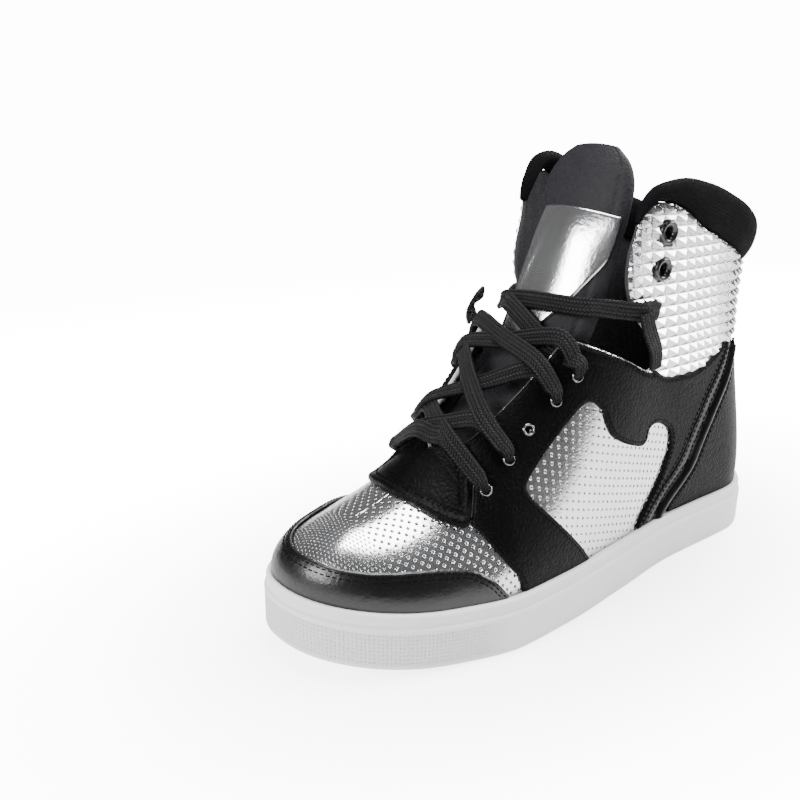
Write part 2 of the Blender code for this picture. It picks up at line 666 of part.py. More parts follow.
def add_collar_padding():
    """Padded knit roll that stands on the wall's top edge and flares out behind the heel."""
    table = columns(COLLAR)
    first = round(COLLAR_FROM * SIDE_COLUMNS)
    qs = np.arange(first, 2 * SIDE_COLUMNS - first + 1) / SIDE_COLUMNS
    rings = []
    for q in qs:
        along = q if q <= 1 else 2 - q
        start = float(wall_top(along))
        swell = float(smooth(table["along"], table["swell"], along))
        flare = float(smooth(table["along"], table["flare"], along)) * COLLAR_PADDING
        base, top = surface(q, start), surface(q, 1.0)
        out = normal(q, start)
        rise = top - base
        height = np.linalg.norm(rise)
        rise = rise / height
        thick = COLLAR_PADDING * swell
        loop = []
        for pad in PAD_SECTION:
            outward = pad.outward * thick + flare * sin(FLARE_BEND * pad.up)
            loop.append(base + out * outward + rise * (2 * GAP + pad.up * (height - 2 * GAP)))
        rings.append(loop)
    n = len(rings[0])
    points = [p for loop in rings for p in loop]
    faces = [(k * n + i, k * n + (i + 1) % n, (k + 1) * n + (i + 1) % n, (k + 1) * n + i)
             for k in range(len(rings) - 1) for i in range(n)]
    faces += [range(n), range((len(rings) - 1) * n, len(rings) * n)]
    return add_object("collar_padding", points, faces, BLACK_KNIT)


# Tongue: curved pad under the laces that stands up in front of the shaft

Tongue = namedtuple("Tongue", "x z half_width sag")
TONGUE = [
    Tongue(0.232, 0.375, 0.30, 0.05),
    Tongue(0.180, 0.430, 0.42, 0.13),
    Tongue(0.118, 0.510, 0.46, 0.15),
    Tongue(0.066, 0.597, 0.48, 0.17),
    Tongue(0.030, 0.695, 0.50, 0.18),
    Tongue(0.004, 0.800, 0.48, 0.18),
    Tongue(-0.024, 0.905, 0.46, 0.17),
    Tongue(-0.056, 1.000, 0.43, 0.14),
    Tongue(-0.076, 1.055, 0.36, 0.10),
    Tongue(-0.086, 1.080, 0.25, 0.06),
]
TONGUE_ROWS = 12
TONGUE_COLUMNS = 8


def tongue_face(rise, across):
    """Front face of the tongue: rise 0 to 1 from toe end to top, across -1 inner to 1 outer."""
    table = columns(TONGUE)
    at = np.linspace(0, 1, len(TONGUE))
    get = {name: smooth(at, table[name], rise) for name in Tongue._fields}
    ahead = {name: smooth(at, table[name], min(rise + 0.01, 1.0)) for name in ("x", "z")}
    back = {name: smooth(at, table[name], max(rise - 0.01, 0.0)) for name in ("x", "z")}
    along = Vector(((ahead["x"] - back["x"]) * LENGTH, 0, (ahead["z"] - back["z"]) * SHAFT_HEIGHT))
    out = Vector((along.z, 0, -along.x)).normalized()
    center = Vector((get["x"] * LENGTH, 0, get["z"] * SHAFT_HEIGHT))
    side = Vector((0, across * get["half_width"] * HALF_BALL, 0))
    sag = get["sag"] * HALF_BALL * across ** 2
    return center + side - out * sag, out


EDGE_THINNING = 0.55


def pad(rises, across_at, low, high, name, mat):
    """Closed pad on the tongue's front face between two depths, thinner toward its edges."""
    front, rear = [], []
    for rise in rises:
        for across in across_at(rise):
            point, out = tongue_face(rise, across)
            edge = 1 - EDGE_THINNING * abs(across) ** 4
            front.append(point + out * high)
            rear.append(point + out * (high - (high - low) * edge))
    m = len(across_at(rises[0]))
    k = len(rises)
    faces = []
    for i in range(k - 1):
        for j in range(m - 1):
            a = i * m + j
            faces.append((a, a + 1, a + m + 1, a + m))
            faces.append(tuple(v + k * m for v in (a, a + m, a + m + 1, a + 1)))
    border = ([j for j in range(m)] + [i * m + m - 1 for i in range(1, k)]
              + [(k - 1) * m + j for j in range(m - 2, -1, -1)] + [i * m for i in range(k - 2, 0, -1)])
    for a, b in zip(border, border[1:] + border[:1]):
        faces.append((a, b, b + k * m, a + k * m))
    return add_object(name, front + rear, faces, mat)


def add_tongue():
    across = np.linspace(-1, 1, TONGUE_COLUMNS + 1)
    rises = np.linspace(0, 1, TONGUE_ROWS + 1)
    return pad(rises, lambda rise: across, -TONGUE_THICKNESS, 0.0, "tongue", BLACK_KNIT)


PANEL_FROM = 0.46
PANEL_TO = 0.69
PANEL_HALF = 0.95
PANEL_FOOT = 0.45


def add_tongue_panel():
    rises = np.linspace(PANEL_FROM, PANEL_TO, 7)

    def across(rise):
        share = (rise - PANEL_FROM) / (PANEL_TO - PANEL_FROM)
        return np.linspace(-PANEL_HALF, PANEL_HALF * (PANEL_FOOT + (1 - PANEL_FOOT) * share), 8)

    return pad(rises, across, 1.5 * GAP, 1.5 * GAP + OVERLAY, "tongue_panel", SILVER_LEATHER)


# Eyelets, grommets and laces

EYELETS = [
    Corner(0.217, 0.347), Corner(0.176, 0.403), Corner(0.136, 0.460), Corner(0.088, 0.517),
    Corner(0.051, 0.568),
]
GROMMETS = [Corner(-0.110, 0.881), Corner(-0.107, 0.795)]


def washer(name, center, axis, radius, hole, height, mat, sides):
    """Flat ring whose underside rests at a point, with its hole along an axis."""
    axis = Vector(axis).normalized()
    start = axis.cross(Vector((0, 0, 1))).normalized()
    other = axis.cross(start)
    points = []
    for r, h in ((radius, 0), (radius, height), (hole, height), (hole, 0)):
        for k in range(sides):
            a = 2 * pi * k / sides
            spoke = start * (r * np.cos(a)) + other * (r * np.sin(a))
            points.append(Vector(center) + spoke + axis * h)
    faces = [(c * sides + i, c * sides + (i + 1) % sides,
              ((c + 1) % 4) * sides + (i + 1) % sides, ((c + 1) % 4) * sides + i)
             for c in range(4) for i in range(sides)]
    return add_object(name, points, faces, mat)


def add_eyelets():
    seat = GAP + OVERLAY + 3 * GAP
    for side, word in ((1, "outer"), (-1, "inner")):
        for number, spot in enumerate(EYELETS, 1):
            q, t = locate(side, spot.x * LENGTH, spot.z * SHAFT_HEIGHT)
            out = normal(q, t)
            washer(f"eyelet_{word}_{number}", surface(q, t) + out * seat, out, EYELET_RADIUS,
                   EYELET_HOLE, RING_HEIGHT, STEEL, 8)
        for number, spot in enumerate(GROMMETS, 1):
            q, t = locate(side, spot.x * LENGTH, spot.z * SHAFT_HEIGHT)
            out = normal(q, t)
            washer(f"grommet_{word}_{number}", surface(q, t) + out * 2 * GAP, out, GROMMET_RADIUS,
                   GROMMET_HOLE, RING_HEIGHT, BLACK_METAL, 12)


def curve_through(points, count):
    """Smooth open curve through hand-set points, evenly cut."""
    p = np.asarray(points, float)
    p = np.vstack([2 * p[0] - p[1], p, 2 * p[-1] - p[-2]])
    fine = []
    for i in range(1, len(p) - 2):
        for t in np.linspace(0, 1, 24, endpoint=False):
            a, b, c, d = p[i - 1], p[i], p[i + 1], p[i + 2]
            fine.append(0.5 * (2 * b + (c - a) * t + (2 * a - 5 * b + 4 * c - d) * t * t
                               + (3 * b - a - 3 * c + d) * t ** 3))
    fine.append(p[-2])
    fine = np.array(fine)
    run = np.concatenate([[0], np.cumsum(np.linalg.norm(np.diff(fine, axis=0), axis=1))])
    at = np.linspace(0, run[-1], count)
    return np.stack([np.interp(at, run, fine[:, k]) for k in range(3)], axis=1)


def strap(name, path, outs, width, thickness, mat):
    """Flat strap along a path, its broad face square to the given outward directions."""
    points, faces = [], []
    n = len(path)
    for i in range(n):
        ahead = path[min(i + 1, n - 1)] - path[max(i - 1, 0)]
        ahead /= np.linalg.norm(ahead)
        across = np.cross(ahead, outs[i])
        across /= np.linalg.norm(across)
        out = np.cross(across, ahead)
        for a, b in ((-1, -1), (1, -1), (1, 1), (-1, 1)):
            points.append(path[i] + across * a * width / 2 + out * b * thickness / 2)
    for i in range(n - 1):
        for k in range(4):
            faces.append((i * 4 + k, i * 4 + (k + 1) % 4, i * 4 + 4 + (k + 1) % 4, i * 4 + 4 + k))
    faces += [(0, 1, 2, 3), tuple((n - 1) * 4 + k for k in (3, 2, 1, 0))]
    return add_object(name, points, faces, mat)


Bar = namedtuple("Bar", "inner outer lift over_tab")
BARS = [
    Bar(1, 1, 0.0, 1),
    Bar(2, 1, 1.0, 1),
    Bar(1, 2, 0.5, 1),
    Bar(4, 2, 1.2, 0),
    Bar(2, 4, 0.2, 0),
    Bar(5, 4, 1.0, 0),
    Bar(4, 5, 0.4, 0),
]
LACE_SEAT = GAP + OVERLAY + 5 * GAP
LAYER = 0.00011
EYELET_CLEARANCE = 0.0050
BAR_RISE = 0.0020
BAR_SHOULDER = 0.15


def bar_path(bar, layer):
    """From an inner eyelet over the throat's edges and the tongue to an outer eyelet."""
    ends = []
    seat = LACE_SEAT + LACE_THICKNESS / 2 + bar.over_tab * (TAB_THICKNESS - OVERLAY + GAP)
    seat += layer * LAYER
    for side, number in ((-1, bar.inner), (1, bar.outer)):
        spot = EYELETS[number - 1]
        q, t = locate(side, spot.x * LENGTH, spot.z * SHAFT_HEIGHT)
        hold = surface(q, t) + normal(q, t) * seat
        rim = surface(q, 1.0) + normal(q, 1.0) * seat
        toward = rim - hold
        start = hold + toward / np.linalg.norm(toward) * (EYELET_CLEARANCE + layer * LAYER)
        ends.append((start, rim, normal(q, 1.0), normal(q, t)))
    (a, a_rim, a_out, a_low), (b, b_rim, b_out, b_low) = ends
    up = (a_out + b_out) / np.linalg.norm(a_out + b_out)
    lift = up * bar.lift * LACE_THICKNESS
    middle = (a_rim + b_rim) / 2 + up * BAR_RISE + lift
    shoulders = [rim + (middle - rim) * BAR_SHOULDER + lift / 2 for rim in (a_rim, b_rim)]
    points = [a, shoulders[0], middle, shoulders[1], b]
    path = curve_through(points, 9)
    share = np.linspace(0, 1, len(path))[:, None]
    outs = np.where(share < 0.5, a_low * (1 - 2 * share) + up * 2 * share,
                    up * (2 - 2 * share) + b_low * (2 * share - 1))
    return path, outs


def add_laces():
    base = None
    for number, bar in enumerate(BARS):
        path, outs = bar_path(bar, number)
        piece = strap("laces" if base is None else f"bar {number}", path, outs, LACE_WIDTH,
                      LACE_THICKNESS, BLACK_LACE)
        if base is None:
            base = piece
            continue
        piece.hide_render = True
        piece.display_type = "WIRE"
        boolean(base, piece, "UNION")
    return base


# Loose lengths of the lace: over the tongue's top, and a loop at each flap

Spot = namedtuple("Spot", "on u v off")
TOP_LACE = [
    Spot("inner", -0.085, 0.685, 0.0024), Spot("inner", -0.058, 0.690, 0.0028),
    Spot("tongue", 0.450, -1.10, 0.0033), Spot("tongue", 0.455, -0.80, 0.0038),
    Spot("tongue", 0.455, 0.00, 0.0034), Spot("tongue", 0.455, 0.80, 0.0038),
    Spot("tongue", 0.455, 1.12, 0.0033), Spot("outer", -0.055, 0.705, 0.0034),
    Spot("outer", -0.078, 0.705, 0.0026), Spot("outer", -0.098, 0.698, 0.0026),
]
OUTER_END = [
    Spot("outer", -0.060, 0.702, 0.0054), Spot("outer", -0.065, 0.670, 0.0056),
    Spot("outer", -0.075, 0.640, 0.0054),
    Spot("outer", -0.088, 0.612, 0.0048), Spot("outer", -0.094, 0.585, 0.0044),
    Spot("outer", -0.096, 0.560, 0.0040),
]
INNER_END = [
    Spot("inner", 0.026, 0.700, 0.0050), Spot("inner", 0.040, 0.680, 0.0066),
    Spot("inner", 0.046, 0.655, 0.0070), Spot("inner", 0.040, 0.632, 0.0062),
]


def spot_at(spot):
    """A point off a face and the face's outward direction. On the upper u and v are shares of
    LENGTH and SHAFT_HEIGHT; on the tongue they are its rise and its share across."""
    if spot.on == "tongue":
        point, out = tongue_face(spot.u, spot.v)
        return np.array(point + out * spot.off), np.array(out)
    side = 1 if spot.on == "outer" else -1
    q, t = locate(side, spot.u * LENGTH, spot.v * SHAFT_HEIGHT)
    return surface(q, t) + normal(q, t) * spot.off, normal(q, t)


def add_loose_lace(name, spots, count):
    points, outs = zip(*[spot_at(spot) for spot in spots])
    path = curve_through(points, count)
    at = np.linspace(0, 1, len(outs))
    along = np.linspace(0, 1, count)
    facing = np.stack([np.interp(along, at, np.array(outs)[:, k]) for k in range(3)], axis=1)
    strap(name, path, facing, LACE_WIDTH, LACE_THICKNESS, BLACK_LACE)


NOTCH_CUTTER = add_cutter("notch", *side_prism(NOTCH, 0))
TAB_CLEARANCE = add_cutter("tab clearance", *prism(tab_outline(2 * GAP), 0.0, SHAFT_HEIGHT))


def add_insole():
    inset = SIDEWALL_THICKNESS + UPPER_WALL + 3 * GAP
    bottom = FLOOR_THICKNESS + GAP
    rings = [ring(inset, bottom), ring(inset, bottom + INSOLE_THICKNESS)]
    return add_object("insole", *loft(rings), INSOLE_FOAM)


add_cupsole()
add_outsole()
add_insole()
add_upper()
add_toe_cap()
add_throat_tab()
add_facing("facing_outer", 1, WINDOW_OUTER)
add_facing("facing_inner", -1, WINDOW_INNER)
add_heel_band("heel_band_outer", 1)
add_heel_band("heel_band_inner", -1)
add_heel_counter()
add_collar_padding()
add_tongue()
add_tongue_panel()
add_eyelets()
add_laces()
add_loose_lace("lace_top", TOP_LACE, 17)
add_loose_lace("lace_end_outer", OUTER_END, 7)
add_loose_lace("lace_end_inner", INNER_END, 7)
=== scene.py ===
"""Looks of a high-top dance sneaker: a left shoe that stands empty on a pale studio floor."""
from collections import namedtuple
from math import cos, pi, radians, sin

import bmesh
import bpy
import numpy as np
from mathutils import Matrix, Vector


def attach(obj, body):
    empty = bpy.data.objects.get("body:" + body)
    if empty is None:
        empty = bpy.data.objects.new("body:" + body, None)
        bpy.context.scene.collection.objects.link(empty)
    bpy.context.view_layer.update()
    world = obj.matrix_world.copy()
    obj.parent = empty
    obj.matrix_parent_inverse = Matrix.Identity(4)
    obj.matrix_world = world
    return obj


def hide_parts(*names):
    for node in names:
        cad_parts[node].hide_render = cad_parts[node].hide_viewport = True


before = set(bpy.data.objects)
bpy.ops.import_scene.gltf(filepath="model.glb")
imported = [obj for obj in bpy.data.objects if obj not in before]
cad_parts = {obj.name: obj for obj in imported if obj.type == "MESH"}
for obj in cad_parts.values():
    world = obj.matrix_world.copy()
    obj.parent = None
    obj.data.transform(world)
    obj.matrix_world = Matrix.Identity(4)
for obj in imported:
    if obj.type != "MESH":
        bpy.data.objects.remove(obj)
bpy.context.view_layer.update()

# Camera: a little above the toe, turned to the outer side, as the photo was taken.
# It stands about 0.4 m from the shoe, so the toe looms larger than the heel.

CAMERA_PLACE = (0.27775, 0.25592, 0.19823)
CAMERA_AZIMUTH = radians(142.343)
CAMERA_HEIGHT_ANGLE = radians(17.75)
CAMERA_ROLL = radians(0.38)
CAMERA_LENS = 39.41

back = Vector((sin(CAMERA_AZIMUTH) * cos(CAMERA_HEIGHT_ANGLE),
               -cos(CAMERA_AZIMUTH) * cos(CAMERA_HEIGHT_ANGLE), sin(CAMERA_HEIGHT_ANGLE)))
level = (-back).cross(Vector((0, 0, 1))).normalized()
upward = level.cross(-back)
across = level * cos(CAMERA_ROLL) + upward * sin(CAMERA_ROLL)
upward = upward * cos(CAMERA_ROLL) - level * sin(CAMERA_ROLL)
camera = bpy.data.objects.new("camera", bpy.data.cameras.new("camera"))
camera.data.lens = CAMERA_LENS
camera.data.sensor_width = 36.0
camera.data.clip_start = 0.01
turn = Matrix((across, upward, back)).transposed().to_4x4()
camera.matrix_world = Matrix.Translation(CAMERA_PLACE) @ turn
bpy.context.scene.collection.objects.link(camera)
bpy.context.scene.camera = camera

# Studio: white paper that is both the floor and a sweep all round, open on top. Soft boxes
# hang over it. Far from the shoe it is dim except to the eye, so silver leather has dark bands.

FLOOR_RADIUS = 1.7
SWEEP_RADIUS = 0.5
WALL_HEIGHT = 1.5


class Reading:
    """A shader socket that takes part in sums; each operation adds one Math node."""

    def __init__(self, finish, socket):
        self.finish, self.socket = finish, socket

    def math(self, operation, *others):
        return self.finish.node("ShaderNodeMath", {"operation": operation}, [self, *others])

    def __add__(self, other):
        return self.math("ADD", other)

    def __sub__(self, other):
        return self.math("SUBTRACT", other)

    def __mul__(self, other):
        return self.math("MULTIPLY", other)

    def __truediv__(self, other):
        return self.math("DIVIDE", other)

    def __mod__(self, other):
        return self.math("FLOORED_MODULO", other)

    def __pow__(self, other):
        return self.math("POWER", other)

    def __rsub__(self, other):
        return self.finish.node("ShaderNodeMath", {"operation": "SUBTRACT"}, [other, self])

    def __abs__(self):
        return self.math("ABSOLUTE")

    __radd__ = __add__
    __rmul__ = __mul__

    def step(self, low, high):
        """0 below low, 1 above high, smooth between; low may be the larger."""
        settings = {"interpolation_type": "SMOOTHSTEP"}
        if low < high:
            return self.finish.node("ShaderNodeMapRange", settings, [self, low, high, 0.0, 1.0])
        return self.finish.node("ShaderNodeMapRange", settings, [self, high, low, 1.0, 0.0])


class Finish:
    """A material under construction, with one method that adds any node."""

    def __init__(self, name):
        self.material = bpy.data.materials.new(name)
        self.material.use_nodes = True
        self.tree = self.material.node_tree
        self.shader = self.tree.nodes["Principled BSDF"]

    def node(self, kind, settings=None, values=(), output=0):
        made = self.tree.nodes.new(kind)
        for name, value in (settings or {}).items():
            setattr(made, name, value)
        pairs = values.items() if isinstance(values, dict) else enumerate(values)
        for place, value in pairs:
            self.give(made.inputs[place], value)
        return Reading(self, made.outputs[output])

    def give(self, socket, value):
        if isinstance(value, Reading):
            self.tree.links.new(value.socket, socket)
        elif isinstance(value, (tuple, list)) and socket.type == "RGBA":
            socket.default_value = (*value, 1.0)
        else:
            socket.default_value = value

    def place(self, scale=1000.0):
        """The point in the row frame, in millimetres."""
        at = self.node("ShaderNodeTexCoord", output=3)
        return self.node("ShaderNodeVectorMath", {"operation": "SCALE"}, {0: at, 3: scale})

    def chart(self, name):
        """The three numbers that a mesh keeps for each of its points."""
        at = self.node("ShaderNodeAttribute", {"attribute_name": name}, output=1)
        split = at.socket.node.id_data.nodes.new("ShaderNodeSeparateXYZ")
        self.tree.links.new(at.socket, split.inputs[0])
        return [Reading(self, split.outputs[i]) for i in range(3)]

    def noise(self, at, scale, detail=2.0, roughness=0.5):
        return self.node("ShaderNodeTexNoise", None,
                         {"Vector": at, "Scale": scale, "Detail": detail, "Roughness": roughness})

    def cells(self, at, scale, feature="F1", randomness=1.0):
        return self.node("ShaderNodeTexVoronoi", {"feature": feature},
                         {"Vector": at, "Scale": scale, "Randomness": randomness})

    def mix(self, low, high, share):
        """A colour from low at share 0 to high at share 1."""
        return self.node("ShaderNodeMix", {"data_type": "RGBA"}, {0: share, 6: low, 7: high}, 2)

    def bump(self, height, depth_mm, under=None, strength=1.0):
        values = {"Height": height, "Distance": depth_mm / 1000.0, "Strength": strength}
        if under is not None:
            values["Normal"] = under
        return self.node("ShaderNodeBump", None, values)

    def done(self, **inputs):
        for name, value in inputs.items():
            self.give(self.shader.inputs[name.replace("_", " ").title().replace("Ior", "IOR")], value)
        return self.material


def add_mesh(name, points, faces, materials, smooth=True):
    mesh = bpy.data.meshes.new(name)
    mesh.from_pydata(np.asarray(points, float).tolist(), [], [list(map(int, f)) for f in faces])
    mesh.validate()
    mesh.shade_smooth() if smooth else mesh.shade_flat()
    obj = bpy.data.objects.new(name, mesh)
    bpy.context.scene.collection.objects.link(obj)
    for made in materials:
        mesh.materials.append(made)
    return obj


def studio_paper():
    """Paper that glows white to the eye, less so right round the shoe, where the weaker glow is a
    painted soft shadow, and dim at a distance in reflections."""
    made = Finish("studio paper")
    flat = made.node("ShaderNodeVectorMath", {"operation": "MULTIPLY"},
                     [made.place(1.0), (0.62, 1.0, 0.0)])
    away = made.node("ShaderNodeVectorMath", {"operation": "LENGTH"}, [flat], 1)
    seen = made.node("ShaderNodeLightPath")
    # Painted shadow: the glow the camera sees is weaker close to the shoe.
    glow_with_painted_shadow = made.mix((3.0, 3.0, 3.0), (14.0, 14.0, 14.0), away.step(0.03, 0.22))
    made.give(made.shader.inputs["Emission Strength"], 1.0)
    return made.done(base_color=made.mix((0.93, 0.93, 0.93), (0.06, 0.06, 0.06), away.step(0.55, 0.80)),
                     roughness=0.85, specular_ior_level=0.0,
                     emission_color=made.mix((0.0, 0.0, 0.0), glow_with_painted_shadow, seen))


def build_studio():
    bends = [(0.02, 0.0), (0.35, 0.0), (0.8, 0.0), (FLOOR_RADIUS - SWEEP_RADIUS, 0.0)]
    bends += [(FLOOR_RADIUS - SWEEP_RADIUS * (1 - sin(a)), SWEEP_RADIUS * (1 - cos(a)))
              for a in np.linspace(0.15, pi / 2, 8)]
    bends.append((FLOOR_RADIUS, WALL_HEIGHT))
    sides = 72
    points = [(r * cos(2 * pi * k / sides), r * sin(2 * pi * k / sides), z)
              for r, z in bends for k in range(sides)]
    faces = [(i * sides + k, (i + 1) * sides + k, (i + 1) * sides + (k + 1) % sides,
              i * sides + (k + 1) % sides) for i in range(len(bends) - 1) for k in range(sides)]
    faces.append(range(sides))
    add_mesh("studio_floor", points, faces, [studio_paper()])


build_studio()

SoftBox = namedtuple("SoftBox", "name azimuth height_angle distance width height power")
SOFT_BOXES = [
    SoftBox("overhead", 297, 81, 1.5, 0.95, 0.95, 43.0),
    SoftBox("key", 92, 26, 1.5, 0.75, 0.60, 29.0),
    SoftBox("fill", 240, 30, 1.5, 0.80, 0.60, 23.0),
    SoftBox("rear", 292, 38, 1.5, 0.70, 0.70, 15.0),
]
for box in SOFT_BOXES:
    a, e = radians(box.azimuth), radians(box.height_angle)
    outward = Vector((sin(a) * cos(e), -cos(a) * cos(e), sin(e)))
    lamp = bpy.data.objects.new(box.name, bpy.data.lights.new(box.name, "AREA"))
    lamp.data.shape = "RECTANGLE"
    lamp.data.size, lamp.data.size_y = box.width, box.height
    lamp.data.energy = box.power
    lamp.location = Vector((0, 0, 0.08)) + outward * box.distance
    lamp.rotation_euler = outward.to_track_quat("Z", "Y").to_euler()
    bpy.context.scene.collection.objects.link(lamp)
sky = bpy.data.worlds.new("studio")
sky.use_nodes = True
sky.node_tree.nodes["Background"].inputs["Color"].default_value = (0.90, 0.95, 1.0, 1.0)
sky.node_tree.nodes["Background"].inputs["Strength"].default_value = 0.055
bpy.context.scene.world = sky

# Cupsole: one white rubber moulding, floor and side wall in one, cemented to the upper.
# A ledge runs round the side wall; the toe bumper below it has a fine square grain.

LENGTH = 0.272
HALF_BALL = 0.0985 / 2
TOE_SPRING = 0.0081
SIDEWALL_HEIGHT = 0.0228
SIDEWALL_THICKNESS = 0.0044
FLOOR_THICKNESS = 0.0100
TREAD_THICKNESS = 0.0036
BORDER_WIDTH = 0.0075
GAP = 0.0003

Width = namedtuple("Width", "along outer inner")
SOLE_WIDTHS = [
    Width(0.00, 0.69, 0.69),
    Width(0.12, 0.75, 0.75),
    Width(0.30, 0.77, 0.71),
    Width(0.45, 0.875, 0.735),
    Width(0.60, 0.977, 0.90),
    Width(0.70, 1.003, 0.995),
    Width(0.82, 0.879, 0.975),
    Width(1.00, 0.69, 0.772),
]
TOE_CURVE_FROM = 0.80
HEEL_CURVE_TO = 0.14
END_ROUNDNESS = 2.25
TOE_DRIFT = -0.10
SPRING_FROM = 0.70


def smooth(xs, ys, x):
    """Monotone cubic through a table's points."""
    xs, ys = np.asarray(xs, float), np.asarray(ys, float)
    step = np.diff(xs)
    slope = np.diff(ys) / step
    tangent = np.zeros(len(xs))
    for i in range(1, len(xs) - 1):
        if slope[i - 1] * slope[i] > 0:
            a = 2 * step[i] + step[i - 1]
            b = step[i] + 2 * step[i - 1]
            tangent[i] = (a + b) / (a / slope[i - 1] + b / slope[i])
    tangent[0], tangent[-1] = slope[0], slope[-1]
    k = np.clip(np.searchsorted(xs, x) - 1, 0, len(step) - 1)
    t = (np.clip(x, xs[0], xs[-1]) - xs[k]) / step[k]
    a = (1 + 2 * t) * (1 - t) ** 2 * ys[k] + t * (1 - t) ** 2 * step[k] * tangent[k]
    b = t * t * (3 - 2 * t) * ys[k + 1] - t * t * (1 - t) * step[k] * tangent[k + 1]
    return a + b


def columns(table):
    """A table's rows as one dict of arrays, one for each named column."""
    names = table[0]._fields
    return {name: [getattr(row, name) for row in table] for name in names}


def spring(x):
    """Height of the sole's underside, which turns up at the toe."""
    lift = np.clip(((np.asarray(x) + LENGTH / 2) / LENGTH - SPRING_FROM) / (1 - SPRING_FROM), 0, 1)
    return TOE_SPRING * lift ** 2


def sole_edge():
    """The sole's outer edge from the toe tip round the outer side to the heel and back."""
    share = (1 + np.cos(np.linspace(0, pi, 400))) / 2
    width = columns(SOLE_WIDTHS)
    toe = np.clip((share - TOE_CURVE_FROM) / (1 - TOE_CURVE_FROM), 0, 1)
    heel = np.clip((HEEL_CURVE_TO - share) / HEEL_CURVE_TO, 0, 1)
    cap = (1 - np.maximum(toe, heel) ** END_ROUNDNESS) ** (1 / END_ROUNDNESS)
    drift = TOE_DRIFT * HALF_BALL * np.clip((share - 0.6) / 0.4, 0, 1) ** 2 * (1 - cap)
    outer = smooth(width["along"], width["outer"], share) * HALF_BALL * cap + drift
    inner = -smooth(width["along"], width["inner"], share) * HALF_BALL * cap + drift
    x = (share - 0.5) * LENGTH
    middle = (outer.max() + inner.min()) / 2
    return np.concatenate([np.c_[x, outer - middle], np.c_[x, inner - middle][::-1][1:-1]])


def run_along(points):
    """How far along a line each of its points lies."""
    return np.concatenate([[0], np.cumsum(np.linalg.norm(np.diff(points, axis=0), axis=1))])


SOLE_EDGE = sole_edge()
CLOSED_EDGE = np.vstack([SOLE_EDGE, SOLE_EDGE[:1]])
EDGE_RUN = run_along(CLOSED_EDGE)
EDGE_STEP = 0.004


def walk(shares):
    """Points of the sole's edge at shares of its length."""
    at = (np.asarray(shares) % 1) * EDGE_RUN[-1]
    return np.c_[np.interp(at, EDGE_RUN, CLOSED_EDGE[:, 0]), np.interp(at, EDGE_RUN, CLOSED_EDGE[:, 1])]


def outline(inset, shares):
    """The sole's edge moved in by an inset."""
    tangent = walk(np.asarray(shares) + EDGE_STEP) - walk(np.asarray(shares) - EDGE_STEP)
    tangent /= np.linalg.norm(tangent, axis=1)[:, None]
    return walk(shares) + np.c_[-tangent[:, 1], tangent[:, 0]] * inset


def add_chart(obj, name, values):
    """Three numbers kept for each point of a mesh, for its material to read."""
    kept = obj.data.attributes.new(name, "FLOAT_VECTOR", "POINT")
    kept.data.foreach_set("vector", np.asarray(values, np.float32).ravel())


BUMPER_FADE = (102.0, 84.0)
GRAIN_PITCH = 1.6


def white_rubber():
    """White rubber. Its chart gives millimetres along the side wall from the toe, and up it."""
    made = Finish("white rubber")
    along, height, _ = made.chart("wall")
    toe = abs(along).step(*BUMPER_FADE)
    band = height.step(1.6, 2.2) * height.step(15.6, 15.0)
    upright = abs((along / GRAIN_PITCH) % 1 - 0.5).step(0.20, 0.40)
    ridge = upright * abs((height / GRAIN_PITCH) % 1 - 0.5).step(0.20, 0.40)
    grain = made.noise(made.place(), 2.2, 3.0)
    tone = made.noise(made.place(), 0.03, 2.0)
    normal = made.bump(grain, 0.03)
    normal = made.bump(ridge * toe * band, 0.45, normal)
    color = made.mix((0.82, 0.81, 0.84), (0.88, 0.87, 0.89), tone)
    # Painted shade: the grooves between the toe bumper's grain ridges are coloured darker.
    color = made.mix(color, (0.62, 0.62, 0.65), (1 - ridge) * toe * band * 0.55)
    return made.done(base_color=color, roughness=0.42 + 0.08 * grain, normal=normal,
                     specular_ior_level=0.45)


Step = namedtuple("Step", "inset height")
SIDE_STEPS = [
    Step(BORDER_WIDTH, TREAD_THICKNESS), Step(BORDER_WIDTH, 0.0010), Step(BORDER_WIDTH - 0.0006, 0.0),
    Step(0.0016, 0.0), Step(0.0007, 0.0002), Step(0.0002, 0.0007), Step(0.0, 0.0016),
    Step(0.0, 0.0060), Step(0.0, 0.0110), Step(0.0, 0.0150), Step(0.0, 0.0158),
    Step(-0.0001, 0.0163), Step(0.0, 0.0168), Step(0.0003, 0.0171), Step(0.0007, 0.0174),
    Step(0.0010, 0.0178), Step(0.0008, 0.0183), Step(0.0008, 0.0200), Step(0.0008, 0.0214),
    Step(0.0010, 0.0220), Step(0.0014, 0.0225), Step(0.0020, 0.0228), Step(0.0028, 0.0228),
    Step(0.0038, 0.0225), Step(SIDEWALL_THICKNESS, 0.0222), Step(SIDEWALL_THICKNESS, 0.0160),
    Step(SIDEWALL_THICKNESS, FLOOR_THICKNESS),
]
WALL_COLUMNS = 480


def ladder(n, base=0):
    """Faces that close a ring whose points pair up across the shoe."""
    made = []
    for i in range(n // 2):
        quad = (i, i + 1, (n - i - 1) % n, (n - i) % n)
        made.append([base + q for q in dict.fromkeys(quad)])
    return made


def tube_faces(n, m):
    """Faces between n rings of m points each."""
    return [(k * m + i, k * m + (i + 1) % m, (k + 1) * m + (i + 1) % m, (k + 1) * m + i)
            for k in range(n - 1) for i in range(m)]


def end_faces(n, m):
    """One face on the first ring of a tube and one on its last."""
    return [list(range(m)), list(range((n - 1) * m, n * m))]


def slab_faces(n, m):
    """Faces of a slab in the sole: n rings of m points, closed across the shoe at both ends."""
    return tube_faces(n, m) + [face[::-1] for face in ladder(m)] + ladder(m, (n - 1) * m)


